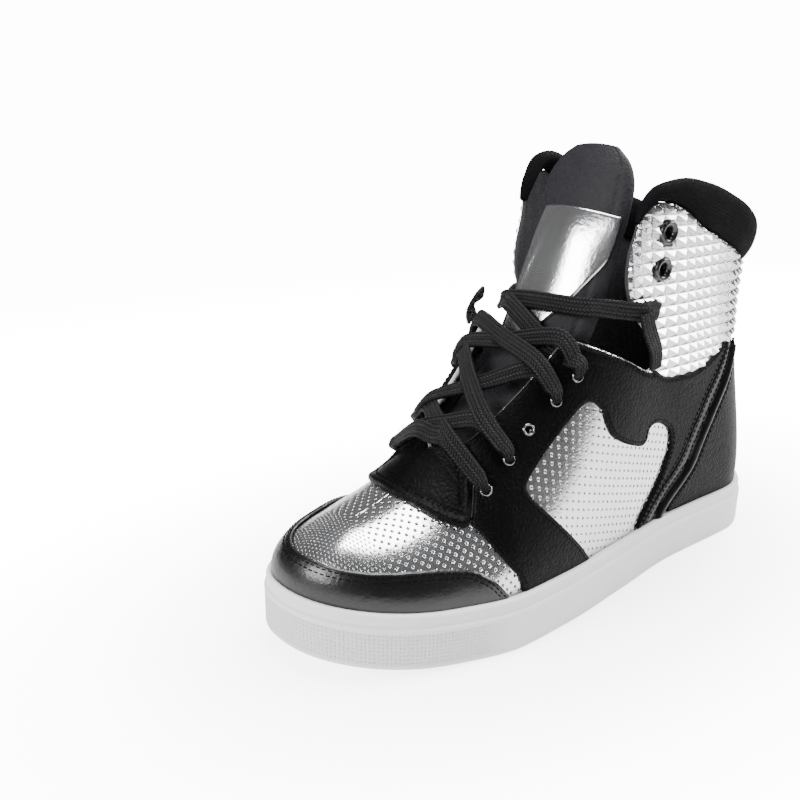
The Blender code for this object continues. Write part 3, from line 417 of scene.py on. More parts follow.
def add_cupsole():
    shares = np.arange(WALL_COLUMNS) / WALL_COLUMNS
    points, chart = [], []
    run = np.where(shares <= 0.5, shares, shares - 1) * EDGE_RUN[-1] * 1000
    for step in SIDE_STEPS:
        edge = outline(step.inset, shares)
        points.append(np.c_[edge, spring(edge[:, 0]) + step.height])
        chart.append(np.c_[run, np.full(WALL_COLUMNS, step.height * 1000), np.zeros(WALL_COLUMNS)])
    faces = slab_faces(len(SIDE_STEPS), WALL_COLUMNS)
    sole = add_mesh("cupsole_moulding", np.vstack(points), faces, [white_rubber()])
    add_chart(sole, "wall", np.vstack(chart))
    face_out(sole)
    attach(sole, "root")
    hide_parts("cupsole")


def face_out(obj):
    """Turn a closed mesh's faces outward."""
    work = bmesh.new()
    work.from_mesh(obj.data)
    bmesh.ops.recalc_face_normals(work, faces=work.faces)
    work.to_mesh(obj.data)
    work.free()


add_cupsole()

# Upper: silver foil leather, stitched up into one hollow wall and lined with black knit.
# The vamp and the quarters are punched with staggered small dimples, each painted dark at its centre as
# shade. Its edge is cut bare round the throat, and it goes down inside the cupsole, where it is
# cemented.

SHAFT_HEIGHT = 0.1760
UPPER_WALL = 0.0022
Column = namedtuple(
    "Column", "along top_x top_y top_z rise bulge reach_x reach_y reach_z")
COLUMNS = [
    Column(0.000, 0.375, 0.000, 0.293, 0.070, 0.03, 0.055, 0.00, -0.008),
    Column(0.060, 0.370, 0.000, 0.294, 0.068, 0.03, 0.045, 0.24, -0.006),
    Column(0.120, 0.349, 0.000, 0.302, 0.068, 0.03, 0.026, 0.35, -0.008),
    Column(0.200, 0.298, 0.000, 0.332, 0.072, 0.04, 0.008, 0.36, -0.010),
    Column(0.280, 0.243, 0.000, 0.398, 0.090, 0.04, 0.000, 0.34, -0.016),
    Column(0.310, 0.230, 0.102, 0.418, 0.100, 0.04, 0.000, 0.31, -0.026),
    Column(0.345, 0.213, 0.284, 0.435, 0.120, 0.03, 0.000, 0.27, -0.040),
    Column(0.400, 0.165, 0.345, 0.489, 0.150, 0.03, 0.000, 0.26, -0.050),
    Column(0.450, 0.114, 0.406, 0.557, 0.175, 0.03, 0.000, 0.24, -0.070),
    Column(0.500, 0.059, 0.487, 0.648, 0.200, 0.02, 0.000, 0.20, -0.100),
    Column(0.550, 0.004, 0.569, 0.750, 0.220, 0.01, 0.000, 0.14, -0.130),
    Column(0.600, -0.042, 0.640, 0.872, 0.240, 0.00, 0.000, 0.08, -0.170),
    Column(0.640, -0.066, 0.680, 0.955, 0.250, 0.00, 0.000, 0.04, -0.190),
    Column(0.680, -0.094, 0.711, 0.990, 0.250, 0.00, 0.005, 0.02, -0.210),
    Column(0.730, -0.140, 0.741, 1.000, 0.250, 0.00, 0.005, 0.00, -0.230),
    Column(0.790, -0.206, 0.751, 0.983, 0.240, 0.01, 0.005, -0.07, -0.290),
    Column(0.860, -0.301, 0.711, 0.938, 0.215, 0.02, 0.012, -0.13, -0.310),
    Column(0.920, -0.382, 0.569, 0.892, 0.180, 0.05, 0.032, -0.15, -0.330),
    Column(0.970, -0.441, 0.264, 0.864, 0.160, 0.06, 0.052, -0.08, -0.345),
    Column(1.000, -0.456, 0.000, 0.860, 0.155, 0.06, 0.062, 0.00, -0.350),
]
INNER_FLAP_LIFT = 0.055
FLAP_ALONG = 0.69
FLAP_SPREAD = 0.09
Collar = namedtuple("Collar", "along start swell flare")
COLLAR = [
    Collar(0.000, 1.000, 0.00, 0.00),
    Collar(0.590, 1.000, 0.10, 0.00),
    Collar(0.640, 0.960, 0.80, 0.00),
    Collar(0.690, 0.935, 1.00, 0.00),
    Collar(0.790, 0.880, 1.00, 0.05),
    Collar(0.860, 0.875, 1.00, 0.08),
    Collar(0.930, 0.880, 1.00, 0.12),
    Collar(1.000, 0.875, 1.00, 0.15),
]
Corner = namedtuple("Corner", "x z")
NOTCH = [
    Corner(-0.040, 1.136), Corner(0.180, 1.136), Corner(0.132, 0.659), Corner(0.081, 0.645),
    Corner(0.059, 0.651), Corner(0.037, 0.642), Corner(-0.004, 0.616), Corner(-0.055, 0.580),
    Corner(-0.092, 0.551), Corner(-0.110, 0.545), Corner(-0.121, 0.560), Corner(-0.121, 0.597),
    Corner(-0.085, 0.653), Corner(-0.053, 0.710), Corner(-0.040, 0.767), Corner(-0.042, 0.835),
    Corner(-0.052, 0.892), Corner(-0.056, 0.966),
]
EYELETS = [
    Corner(0.217, 0.347), Corner(0.176, 0.403), Corner(0.136, 0.460), Corner(0.088, 0.517),
    Corner(0.051, 0.568),
]
GROMMETS = [Corner(-0.110, 0.881), Corner(-0.107, 0.795)]
EYELET_HOLE = 0.0015
GROMMET_HOLE = 0.0024
SMALL_STEP = 0.001


def surface(round_share, up):
    """The upper's outer face. round_share is 0 at the toe, 1 at the heel by the outer side and
    2 at the toe again by the inner side; up is 0 at the sole's rim and 1 at the column's top."""
    q, t = np.broadcast_arrays(np.asarray(round_share, float), np.asarray(up, float))
    q = q % 2
    side = np.where(q <= 1, 1.0, -1.0)
    along = np.where(q <= 1, q, 2 - q)
    table = columns(COLUMNS)
    get = {name: smooth(table["along"], table[name], along)
           for name in Column._fields if name != "along"}
    lift = INNER_FLAP_LIFT * np.exp(-((along - FLAP_ALONG) / FLAP_SPREAD) ** 2) * (side < 0)
    inset = SIDEWALL_THICKNESS + GAP
    foot = outline(inset, np.ravel(q / 2)).reshape(*q.shape, 2)
    further = outline(inset + SMALL_STEP, np.ravel(q / 2)).reshape(*q.shape, 2)
    out = (foot - further) / SMALL_STEP
    p0 = np.stack([foot[..., 0], foot[..., 1], spring(foot[..., 0]) + SIDEWALL_HEIGHT], axis=-1)
    p3 = np.stack([get["top_x"] * LENGTH, side * get["top_y"] * HALF_BALL,
                   (get["top_z"] + lift) * SHAFT_HEIGHT], axis=-1)
    p1 = p0 + np.stack([out[..., 0] * get["bulge"] * HALF_BALL, out[..., 1] * get["bulge"] * HALF_BALL,
                        get["rise"] * SHAFT_HEIGHT], axis=-1)
    p2 = p3 + np.stack([get["reach_x"] * LENGTH, side * get["reach_y"] * HALF_BALL,
                        get["reach_z"] * SHAFT_HEIGHT], axis=-1)
    t = t[..., None]
    return (1 - t) ** 3 * p0 + 3 * t * (1 - t) ** 2 * p1 + 3 * t * t * (1 - t) * p2 + t ** 3 * p3


def normal(round_share, up):
    """Unit normal of the upper's outer face."""
    q, t = np.broadcast_arrays(np.asarray(round_share, float), np.asarray(up, float))
    small = 0.004
    round_way = surface(q + small, t) - surface(q - small, t)
    up_way = surface(q, np.minimum(t + small, 1)) - surface(q, np.maximum(t - small, 0))
    n = np.cross(round_way, up_way)
    n[..., 1] *= np.abs(surface(q, t)[..., 1]) > 1e-6
    return n / (np.linalg.norm(n, axis=-1)[..., None] + 1e-12)


def locate(side, x, z):
    """The round share and up share of the surface point seen at x, z from one side."""
    low_q, high_q, low_t, high_t = 0.02, 0.98, 0.0, 1.0
    for _ in range(4):
        q = np.linspace(low_q, high_q, 60)[:, None]
        t = np.linspace(low_t, high_t, 60)[None, :]
        points = surface(q if side > 0 else 2 - q, t)
        miss = (points[..., 0] - x) ** 2 + (points[..., 2] - z) ** 2
        i, j = np.unravel_index(np.argmin(miss), miss.shape)
        span_q, span_t = (high_q - low_q) / 20, (high_t - low_t) / 20
        low_q, high_q = q[i, 0] - span_q, q[i, 0] + span_q
        low_t, high_t = max(t[0, j] - span_t, 0), min(t[0, j] + span_t, 1)
    return (q[i, 0] if side > 0 else 2 - q[i, 0]), t[0, j]


def wall_top(q):
    """Up share at which the collar padding takes over from the wall."""
    q = np.asarray(q, float) % 2
    table = columns(COLLAR)
    return smooth(table["along"], table["start"], np.where(q <= 1, q, 2 - q))


def rounded(corners, sharp=(), steps=10):
    """Smooth closed outline through side-view corners, in metres; sharp ones keep their point."""
    p = np.array([(c.x * LENGTH, c.z * SHAFT_HEIGHT) for c in corners])
    n = len(p)
    line = []
    for i in range(n):
        b, c = p[i], p[(i + 1) % n]
        a = b - (c - b) * SMALL_STEP if i in sharp else p[i - 1]
        d = c + (c - b) * SMALL_STEP if (i + 1) % n in sharp else p[(i + 2) % n]
        chord = np.linalg.norm(c - b)
        before = (c - a) / (np.linalg.norm(b - a) + chord) * chord
        after = (d - b) / (np.linalg.norm(d - c) + chord) * chord
        for t in np.arange(steps) / steps:
            h = (2 * t ** 3 - 3 * t * t + 1, t ** 3 - 2 * t * t + t, 3 * t * t - 2 * t ** 3,
                 t ** 3 - t * t)
            line.append(h[0] * b + h[1] * before + h[2] * c + h[3] * after)
    return np.array(line)


def notch_outline():
    """The collar's opening in front, seen from the side."""
    return rounded(NOTCH, sharp=(0, 1, 2))


def distance_to(line, x, z):
    """Signed distance of side-view points to a closed outline, negative inside it."""
    shape = np.shape(x)
    at = np.c_[np.ravel(x), np.ravel(z)]
    best = np.full(len(at), 1e9)
    odd = np.zeros(len(at), bool)
    for a, b in zip(line, np.roll(line, -1, axis=0)):
        run = b - a
        size = run @ run
        if size < 1e-14:
            continue
        share = np.clip(((at - a) @ run) / size, 0, 1)
        best = np.minimum(best, np.hypot(*(at - a - share[:, None] * run).T))
        if a[1] != b[1]:
            crosses = (a[1] > at[:, 1]) != (b[1] > at[:, 1])
            odd ^= crosses & (at[:, 0] < a[0] + (at[:, 1] - a[1]) / (b[1] - a[1]) * run[0])
    return np.where(odd, -best, best).reshape(shape)


class Cloth:
    """A grid on the upper's face: shares q and t, points, normals and how far each point
    lies outside the piece to be cut from it, which is negative inside."""

    def __init__(self, qs, ups):
        self.q = np.repeat(np.asarray(qs, float)[:, None], len(ups), axis=1)
        top = wall_top(self.q)
        self.t = np.asarray(ups, float)[None, :] * top
        self.points = surface(self.q, self.t)
        self.normals = normal(self.q, self.t)
        self.outside = np.full(self.q.shape, -1.0)

    def along_face(self, field):
        """A field's distance along the face itself, from its distance in any view."""
        fq, ft = np.gradient(field)
        pq, pt = np.gradient(self.points, axis=(0, 1))
        e, f, g = (pq * pq).sum(-1), (pq * pt).sum(-1), (pt * pt).sum(-1)
        steep = (g * fq ** 2 - 2 * f * fq * ft + e * ft ** 2) / np.maximum(e * g - f * f, 1e-18)
        return field / np.clip(np.sqrt(np.maximum(steep, 1e-12)), 0.35, 3.0)

    def keep(self, field):
        self.outside = np.maximum(self.outside, self.along_face(field))

    def distance(self, line, view=2):
        """Signed distance to an outline seen from the side, or from above with view 1."""
        return distance_to(line, self.points[..., 0], self.points[..., view])

    def punch(self, spots, radius):
        """Round holes through both sides."""
        for spot in spots:
            for side in (1, -1):
                q, t = locate(side, spot.x * LENGTH, spot.z * SHAFT_HEIGHT)
                reach = np.linalg.norm(self.points - surface(q, t), axis=-1)
                self.outside = np.maximum(self.outside, radius - reach)

    def triangles(self):
        k, m = cell_starts(*self.q.shape), self.q.shape[1]
        return np.concatenate([np.c_[k, k + m, k + m + 1], np.c_[k, k + m + 1, k + 1]])


def cell_starts(n, m):
    """The first point of each cell in an n by m grid of points."""
    return (np.arange(n - 1)[:, None] * m + np.arange(m - 1)[None, :]).ravel()


def cut(triangles, outside, *fields):
    """Trim triangles where outside passes zero. Returns faces, then each field at their points."""
    inside = outside < 0
    count = inside[triangles].sum(1)
    faces = [list(t) for t in triangles[count == 3]]
    first = len(outside)
    made, parents, shares = {}, [], []

    def crossing(a, b):
        key = (a, b) if a < b else (b, a)
        if key not in made:
            made[key] = first + len(parents)
            parents.append(key)
            shares.append(outside[key[0]] / (outside[key[0]] - outside[key[1]]))
        return made[key]

    for tri in triangles[(count > 0) & (count < 3)]:
        tri = [int(v) for v in tri]
        loop = []
        for a, b in zip(tri, tri[1:] + tri[:1]):
            if inside[a]:
                loop.append(a)
            if inside[a] != inside[b]:
                loop.append(crossing(a, b))
        faces += [[loop[0], loop[i], loop[i + 1]] for i in range(1, len(loop) - 1)]
    faces = np.array(faces)
    if parents:
        pair = np.array(parents)
        share = np.array(shares)
        fields = [np.concatenate([f, f[pair[:, 0]] * (1 - share.reshape(-1, *[1] * (f.ndim - 1)))
                                  + f[pair[:, 1]] * share.reshape(-1, *[1] * (f.ndim - 1))])
                  for f in fields]
    used = np.unique(faces)
    renumber = np.zeros(faces.max() + 1, int)
    renumber[used] = np.arange(len(used))
    return (renumber[faces], *[f[used] for f in fields])


def rim_of(faces):
    """Edges that only one face has, in that face's direction."""
    edges = np.concatenate([faces[:, [0, 1]], faces[:, [1, 2]], faces[:, [2, 0]]])
    held = {}
    for a, b in edges.tolist():
        key = (a, b) if a < b else (b, a)
        held[key] = None if key in held else (a, b)
    return [edge for edge in held.values() if edge is not None]


def close_back(faces, count):
    """A panel's faces, with the same points again behind them, joined round the rim."""
    sides = []
    for a, b in rim_of(faces):
        sides += [[b, a, a + count], [b, a + count, b + count]]
    return np.concatenate([faces, faces[:, ::-1] + count, np.array(sides)])


QUARTER_FROM = 0.046
QUARTER_ACROSS = (3.35, 1.0)
QUARTER_UP = (-0.5, 3.4)
VAMP_PITCH = 4.3
VAMP_AXIS = 0.008
VAMP_RADIUS = 0.047
NO_HOLE = 9.0


def leather_chart(points):
    """Where each point lies in the punched dimples' grid, counted in dimples each way, and 1 on
    the vamp: there the grid is laid along the shoe and round an axis inside it."""
    x, y, z = points[..., 0], points[..., 1], points[..., 2]
    round_way = np.arctan2(y, z - VAMP_AXIS) * VAMP_RADIUS
    slope = np.interp(x, (-0.02, 0.0, 0.06, 0.105, 0.136), (1.0, 1.18, 1.12, 1.12, 1.6))
    vamp = np.stack([x * slope, round_way], axis=-1) * 1000 / VAMP_PITCH
    grid = np.linalg.inv(np.array([QUARTER_ACROSS, QUARTER_UP]).T)
    quarter = np.stack([x, z], axis=-1) * 1000 @ grid.T
    front = (x > QUARTER_FROM)[..., None]
    return np.concatenate([np.where(front, vamp, quarter), front * 1.0], axis=-1)


def silver_foil(name="silver foil leather", holes=True):
    """Foil on leather: a bright metal film with faint creases and punched dimples, painted dark at each
    dimple's centre as shade.
    """
    made = Finish(name)
    at = made.place()
    crease = made.noise(at, 0.55, 4.0, 0.6)
    cloud = made.noise(at, 0.06, 3.0)
    normal = made.bump(crease, 0.10)
    color = made.mix((0.74, 0.74, 0.76), (0.86, 0.86, 0.87), cloud)
    roughness = 0.12 + 0.08 * cloud
    if holes:
        u, v, front = made.chart("leather")

        def lattice(shift):
            a = abs((u + shift) % 1 - 0.5)
            b = abs((v + shift) % 1 - 0.5)
            return (a * a + b * b) ** 0.5

        second = lattice(0.5) + NO_HOLE * (1 - front)
        near = made.node("ShaderNodeMath", {"operation": "MINIMUM"}, [lattice(0.0), second])
        near = near * (3.4 + 0.9 * front)
        dent = near.step(0.82, 0.15)
        # Painted shade: hole is the centre of each dimple, which is coloured dark and made rougher.
        hole = near.step(0.56, 0.36)
        normal = made.bump(dent, -0.42, normal)
        color = made.mix(color, (0.05, 0.05, 0.055), hole * 0.9)
        roughness = roughness + 0.25 * hole
    return made.done(base_color=color, metallic=0.95, roughness=roughness, normal=normal)


def knit_lining():
    made = Finish("black knit lining")
    at = made.place()
    cell = made.cells(at, 0.9, randomness=0.35)
    color = made.mix((0.012, 0.012, 0.014), (0.045, 0.045, 0.05), cell)
    return made.done(base_color=color, roughness=0.9, normal=made.bump(cell, 0.3))


def raw_edge():
    made = Finish("cut leather edge")
    fibre = made.noise(made.place(), 1.4, 3.0)
    color = made.mix((0.42, 0.42, 0.43), (0.75, 0.75, 0.76), fibre)
    return made.done(base_color=color, roughness=0.7, normal=made.bump(fibre, 0.1))


def spread_columns(first, last, spacing, level=0.35):
    """Round shares that lie evenly spaced along the face at one height."""
    fine = np.linspace(first, last, 1200)
    line = surface(fine, np.full(1200, level))
    run = run_along(line)
    count = max(int(run[-1] / spacing), 8)
    return np.interp(np.linspace(0, run[-1], count + 1), run, fine)


def keep_modifiers(obj):
    """The object's modifiers become part of its mesh."""
    graph = bpy.context.evaluated_depsgraph_get()
    done = bpy.data.meshes.new_from_object(obj.evaluated_get(graph), depsgraph=graph)
    obj.modifiers.clear()
    obj.data = done


BOUND_ABOVE = 0.118


def add_upper():
    ups = np.concatenate([[0.0], np.linspace(0, 1, 84)])
    cloth = Cloth(spread_columns(0.0, 2.0, 0.0015), ups)
    drop = SIDEWALL_HEIGHT - FLOOR_THICKNESS - GAP
    cloth.points[:, 0, 2] -= drop
    cloth.keep(-cloth.distance(notch_outline()))
    cloth.punch(EYELETS, EYELET_HOLE)
    cloth.punch(GROMMETS, GROMMET_HOLE)
    chart = leather_chart(cloth.points)
    faces, points, charts = cut(cloth.triangles(), cloth.outside.ravel(), cloth.points.reshape(-1, 3),
                                chart.reshape(-1, 3))
    upper = add_mesh("upper_shell", points, faces, [silver_foil(), knit_lining(), raw_edge()])
    add_chart(upper, "leather", charts)
    work = bmesh.new()
    work.from_mesh(upper.data)
    bmesh.ops.remove_doubles(work, verts=work.verts, dist=2e-5)
    bmesh.ops.dissolve_degenerate(work, edges=work.edges, dist=1e-5)
    work.to_mesh(upper.data)
    work.free()
    wall = upper.modifiers.new("wall", "SOLIDIFY")
    wall.thickness = UPPER_WALL
    wall.offset = -1.0
    wall.material_offset = 1
    wall.material_offset_rim = 2
    keep_modifiers(upper)
    for face in upper.data.polygons:
        if face.material_index == 2 and face.center[2] > BOUND_ABOVE and face.center[0] < 0:
            face.material_index = 1
    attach(upper, "root")
    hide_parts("upper")


add_upper()

# Black leather panels, cut with a skived edge and stitched flat on the silver ones: the toe
# cap, the facings that run from the throat down to the sole and back under the collar, the
# rolled heel bands and the heel counter. Their edges carry rows of black thread.

OVERLAY = 0.0012
TAB_THICKNESS = 0.0026
EDGE_ROUND = 0.0011
PANEL_FOOT = 0.002
FACING_FRONT = [
    Corner(0.210, 0.068), Corner(0.199, 0.142), Corner(0.228, 0.216), Corner(0.243, 0.261),
    Corner(0.252, 0.290), Corner(0.250, 0.325), Corner(0.238, 0.365), Corner(0.226, 0.405),
    Corner(0.235, 0.500), Corner(0.180, 0.682), Corner(0.088, 0.767), Corner(0.000, 0.700),
    Corner(-0.060, 0.620), Corner(-0.114, 0.552),
]
QUARTER_TOP = [
    Corner(-0.118, 0.545), Corner(-0.147, 0.520), Corner(-0.188, 0.514), Corner(-0.232, 0.517),
    Corner(-0.272, 0.537), Corner(-0.301, 0.557),
]
HEEL_FRONT = [
    Corner(-0.103, 0.068), Corner(-0.110, 0.125), Corner(-0.158, 0.196), Corner(-0.211, 0.267),
    Corner(-0.244, 0.358), Corner(-0.272, 0.438), Corner(-0.305, 0.511), Corner(-0.329, 0.577),
]
HEEL_REAR = [
    Corner(-0.160, 0.068), Corner(-0.176, 0.125), Corner(-0.254, 0.227), Corner(-0.283, 0.312),
    Corner(-0.316, 0.403), Corner(-0.342, 0.466), Corner(-0.360, 0.523), Corner(-0.371, 0.577),
]
WINDOW_OUTER = [
    Corner(-0.088, 0.068), Corner(-0.099, 0.136), Corner(-0.121, 0.176), Corner(-0.153, 0.227),
    Corner(-0.176, 0.290), Corner(-0.182, 0.330), Corner(-0.175, 0.369), Corner(-0.154, 0.392),
    Corner(-0.129, 0.403), Corner(-0.112, 0.395), Corner(-0.107, 0.369), Corner(-0.096, 0.358),
    Corner(-0.066, 0.369), Corner(-0.033, 0.392), Corner(-0.011, 0.415), Corner(0.000, 0.443),
    Corner(0.007, 0.472), Corner(0.018, 0.494), Corner(0.033, 0.506), Corner(0.048, 0.500),
    Corner(0.103, 0.432), Corner(0.158, 0.358), Corner(0.164, 0.341), Corner(0.151, 0.307),
    Corner(0.044, 0.131), Corner(0.026, 0.068),
]
WINDOW_INNER = [
    Corner(-0.088, 0.068), Corner(-0.099, 0.136), Corner(-0.121, 0.176), Corner(-0.153, 0.227),
    Corner(-0.176, 0.290), Corner(-0.182, 0.347), Corner(-0.169, 0.398), Corner(-0.140, 0.432),
    Corner(-0.096, 0.452), Corner(-0.040, 0.466), Corner(0.015, 0.472), Corner(0.051, 0.460),
    Corner(0.103, 0.415), Corner(0.158, 0.347), Corner(0.164, 0.330), Corner(0.151, 0.295),
    Corner(0.044, 0.131), Corner(0.026, 0.068),
]
HEEL_TOP = 0.577
BEHIND_HEEL = [Corner(-0.55, HEEL_TOP), Corner(-0.55, HEEL_REAR[0].z)]
CapEdge = namedtuple("CapEdge", "round_share height")
TOE_CAP_EDGE = [
    CapEdge(-0.310, 0.004), CapEdge(-0.292, 0.045), CapEdge(-0.262, 0.082), CapEdge(-0.220, 0.100),
    CapEdge(-0.180, 0.103), CapEdge(-0.120, 0.092), CapEdge(-0.060, 0.080), CapEdge(0.000, 0.070),
    CapEdge(0.060, 0.069), CapEdge(0.120, 0.070), CapEdge(0.220, 0.077), CapEdge(0.260, 0.073),
    CapEdge(0.290, 0.050), CapEdge(0.315, 0.004),
]
TabEdge = namedtuple("TabEdge", "x y")
TAB_EDGE = [
    TabEdge(0.222, 0.42), TabEdge(0.236, 0.52), TabEdge(0.258, 0.60), TabEdge(0.281, 0.51),
    TabEdge(0.296, 0.38), TabEdge(0.307, 0.20), TabEdge(0.312, 0.0),
]


def black_leather(name, gloss=0.38, grain_mm=1.05, depth=0.26, shine=0.07):
    """Pebbled leather with a drum-dyed black: round grain, fine wrinkles, a soft sheen."""
    made = Finish(name)
    at = made.place()
    warped = made.node("ShaderNodeVectorMath", {"operation": "ADD"},
                       [at, made.node("ShaderNodeTexNoise", None, {"Vector": at, "Scale": 0.8}, 1)])
    pebble = made.cells(warped, 1.0 / grain_mm, "SMOOTH_F1")
    fine = made.noise(at, 2.6, 3.0)
    crease = made.noise(at, 0.16, 4.0, 0.65)
    edge, _, _ = made.chart("edge")
    scuff = edge.step(0.7, 0.0) * fine.step(0.45, 0.75)
    color = made.mix((0.0008, 0.0008, 0.0010), (0.0026, 0.0023, 0.0026), fine)
    color = made.mix(color, (0.022, 0.021, 0.020), scuff * 0.35)
    normal = made.bump(crease, 0.5, None, 0.5)
    normal = made.bump(pebble, -depth, normal)
    return made.done(base_color=color, roughness=gloss + 0.12 * fine, specular_ior_level=shine,
                     normal=normal)


def stitch_thread():
    made = Finish("black thread")
    ply = made.noise(made.place(), 5.0, 1.0)
    return made.done(base_color=(0.004, 0.004, 0.0045), roughness=0.55 + 0.1 * ply,
                     specular_ior_level=0.05, normal=made.bump(ply, 0.06))


BLACK_LEATHER = black_leather("pebbled black leather")
CAP_LEATHER = black_leather("smooth black leather", 0.26, 0.9, 0.06, 0.62)
BAND_LEATHER = black_leather("glossy black binding", 0.24, 0.9, 0.05, 0.26)
BLACK_THREAD = stitch_thread()


def raise_panel(name, cloth, thickness, lift, finish, edge=EDGE_ROUND, crown=None):
    """Closed panel over the upper: thickest inside and rounded down to its edge."""
    faces, points, normals, outside = cut(
        cloth.triangles(), cloth.outside.ravel(), cloth.points.reshape(-1, 3),
        cloth.normals.reshape(-1, 3), cloth.outside.ravel())
    inside = np.maximum(-outside, 0)
    share = np.clip(inside / edge, 0, 1)
    rise = thickness * (0.40 + 0.60 * np.sqrt(np.clip(1 - (1 - share) ** 2, 0, 1)))
    if crown is not None:
        rise = rise + crown(inside, points)
    n = len(points)
    both = np.concatenate([points + normals * (lift + rise)[:, None], points + normals * lift])
    panel = add_mesh(name, both, close_back(faces, n), [finish])
    add_chart(panel, "edge", np.c_[np.tile(inside * 1000, 2), np.zeros((2 * n, 2))])
    panel.data.set_sharp_from_angle(angle=radians(50))
    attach(panel, "root")
    return panel


def level_lines(cloth, field, level):
    """Chains of points where a field of the cloth's grid has one value."""
    values = (field - level).ravel()
    tris = cloth.triangles()
    up = values[tris] > 0
    mixed = tris[(up.sum(1) > 0) & (up.sum(1) < 3)]
    data = np.concatenate([cloth.points.reshape(-1, 3), cloth.normals.reshape(-1, 3),
                           cloth.outside.reshape(-1, 1)], axis=1)
    nodes, links, found = {}, {}, []

    def crossing(a, b):
        key = (min(a, b), max(a, b))
        if key not in nodes:
            nodes[key] = len(found)
            share = values[key[0]] / (values[key[0]] - values[key[1]])
            found.append(data[key[0]] * (1 - share) + data[key[1]] * share)
        return nodes[key]

    for a, b, c in mixed.tolist():
        ends = [crossing(i, j) for i, j in ((a, b), (b, c), (c, a))
                if (values[i] > 0) != (values[j] > 0)]
        links.setdefault(ends[0], []).append(ends[1])
        links.setdefault(ends[1], []).append(ends[0])
    lines, seen = [], set()
    for start in sorted(links, key=lambda k: len(links[k])):
        if start in seen:
            continue
        chain, at = [start], start
        seen.add(start)
        while True:
            ahead = [k for k in links[at] if k not in seen]
            if not ahead:
                break
            at = ahead[0]
            seen.add(at)
            chain.append(at)
        lines.append(np.array([found[k] for k in chain]))
    return lines


STITCH_PITCH = 0.0025
STITCH_LENGTH = 0.0020
STITCH_RADIUS = 0.00026
STITCH_SIDES = 6
STITCH_END = 0.0012
StitchRing = namedtuple("StitchRing", "along girth height")
STITCH_RINGS = [
    StitchRing(-0.5, 0.35, -0.9), StitchRing(-0.40, 0.85, -0.1), StitchRing(-0.15, 1.0, 0.35),
    StitchRing(0.15, 1.0, 0.35), StitchRing(0.40, 0.85, -0.1), StitchRing(0.5, 0.35, -0.9),
]


def stitch_run(points, normals):
    """Points and faces of short thread bars laid along a line."""
    run = run_along(points)
    count = int(run[-1] / STITCH_PITCH)
    made, faces = [], []
    sides = STITCH_SIDES
    for k in range(count):
        middle = (k + 0.5) * STITCH_PITCH
        at = middle + np.array([ring.along for ring in STITCH_RINGS]) * STITCH_LENGTH
        place = np.stack([np.interp(at, run, points[:, c]) for c in range(3)], axis=1)
        out = np.array([np.interp(middle, run, normals[:, c]) for c in range(3)])
        out /= np.linalg.norm(out)
        ahead = place[-1] - place[0]
        size = np.linalg.norm(ahead)
        if size < 1e-6:
            continue
        across = np.cross(ahead / size, out)
        base = len(made)
        for spot, ring in zip(place, STITCH_RINGS):
            for i in range(sides):
                a = 2 * pi * i / sides
                made.append(spot + (across * cos(a) + out * sin(a)) * STITCH_RADIUS * ring.girth
                            + out * STITCH_RADIUS * ring.height)
        for r in range(len(STITCH_RINGS) - 1):
            for i in range(sides):
                j = (i + 1) % sides
                faces.append((base + r * sides + i, base + r * sides + j,
                              base + (r + 1) * sides + j, base + (r + 1) * sides + i))
        faces.append([base + i for i in range(sides)][::-1])
        faces.append([base + (len(STITCH_RINGS) - 1) * sides + i for i in range(sides)])
    return made, faces


def add_stitches(name, cloth, seam, rows, height):
    """Rows of stitches on a panel, each a distance in from its seam."""
    points, faces = [], []
    for row in rows:
        for line in level_lines(cloth, seam, -row):
            line = line[line[:, 6] < -STITCH_END]
            if len(line) < 4:
                continue
            more, loops = stitch_run(line[:, :3] + line[:, 3:6] * height, line[:, 3:6])
            faces += [[v + len(points) for v in loop] for loop in loops]
            points += more
    thread = add_mesh(name, points, faces, [BLACK_THREAD])
    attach(thread, "root")


def add_toe_cap():
    cloth = Cloth(spread_columns(-0.33, 0.335, 0.0009, 0.15), np.linspace(PANEL_FOOT, 0.62, 52))
    edge = columns(TOE_CAP_EDGE)
    around = np.where(cloth.q > 1, cloth.q - 2, cloth.q)
    height = smooth(edge["round_share"], edge["height"], around) * SHAFT_HEIGHT
    rim = cloth.points[:, :1, 2]
    ends = np.maximum(edge["round_share"][0] - around, around - edge["round_share"][-1]) * 0.3
    cloth.keep(np.maximum(cloth.points[..., 2] - rim - height, ends))
    seam = cloth.outside.copy()
    cap = raise_panel("toe_cap_leather", cloth, OVERLAY, 2 * GAP, CAP_LEATHER)
    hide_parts("toe_cap")
    add_stitches("toe_cap_stitches", cloth, seam, (0.0016, 0.0032), 2 * GAP + OVERLAY)


def top_line(corners):
    """Closed outline seen from above, mirrored across the shoe's middle."""
    half = [(c.x, c.y * HALF_BALL / SHAFT_HEIGHT) for c in corners]
    loop = half + [(x, -y) for x, y in half[-2::-1]]
    return rounded([Corner(x, y) for x, y in loop], sharp=(0, len(loop) - 1))


def throat_edge(cloth):
    """Distance down from the throat's cut edge, negative below it."""
    step = np.linalg.norm(np.diff(cloth.points, axis=1), axis=2)
    below = np.cumsum(step[:, ::-1], axis=1)[:, ::-1]
    return -np.concatenate([below, np.zeros((len(below), 1))], axis=1)


def facing_outline(window):
    corners = FACING_FRONT + QUARTER_TOP + HEEL_FRONT[::-1] + window
    joint = len(FACING_FRONT + QUARTER_TOP)
    return rounded(corners, (0, 9, 10, joint - 1, joint, joint + len(HEEL_FRONT) - 1,
                             joint + len(HEEL_FRONT), len(corners) - 1))


SET_BACK = 0.0006


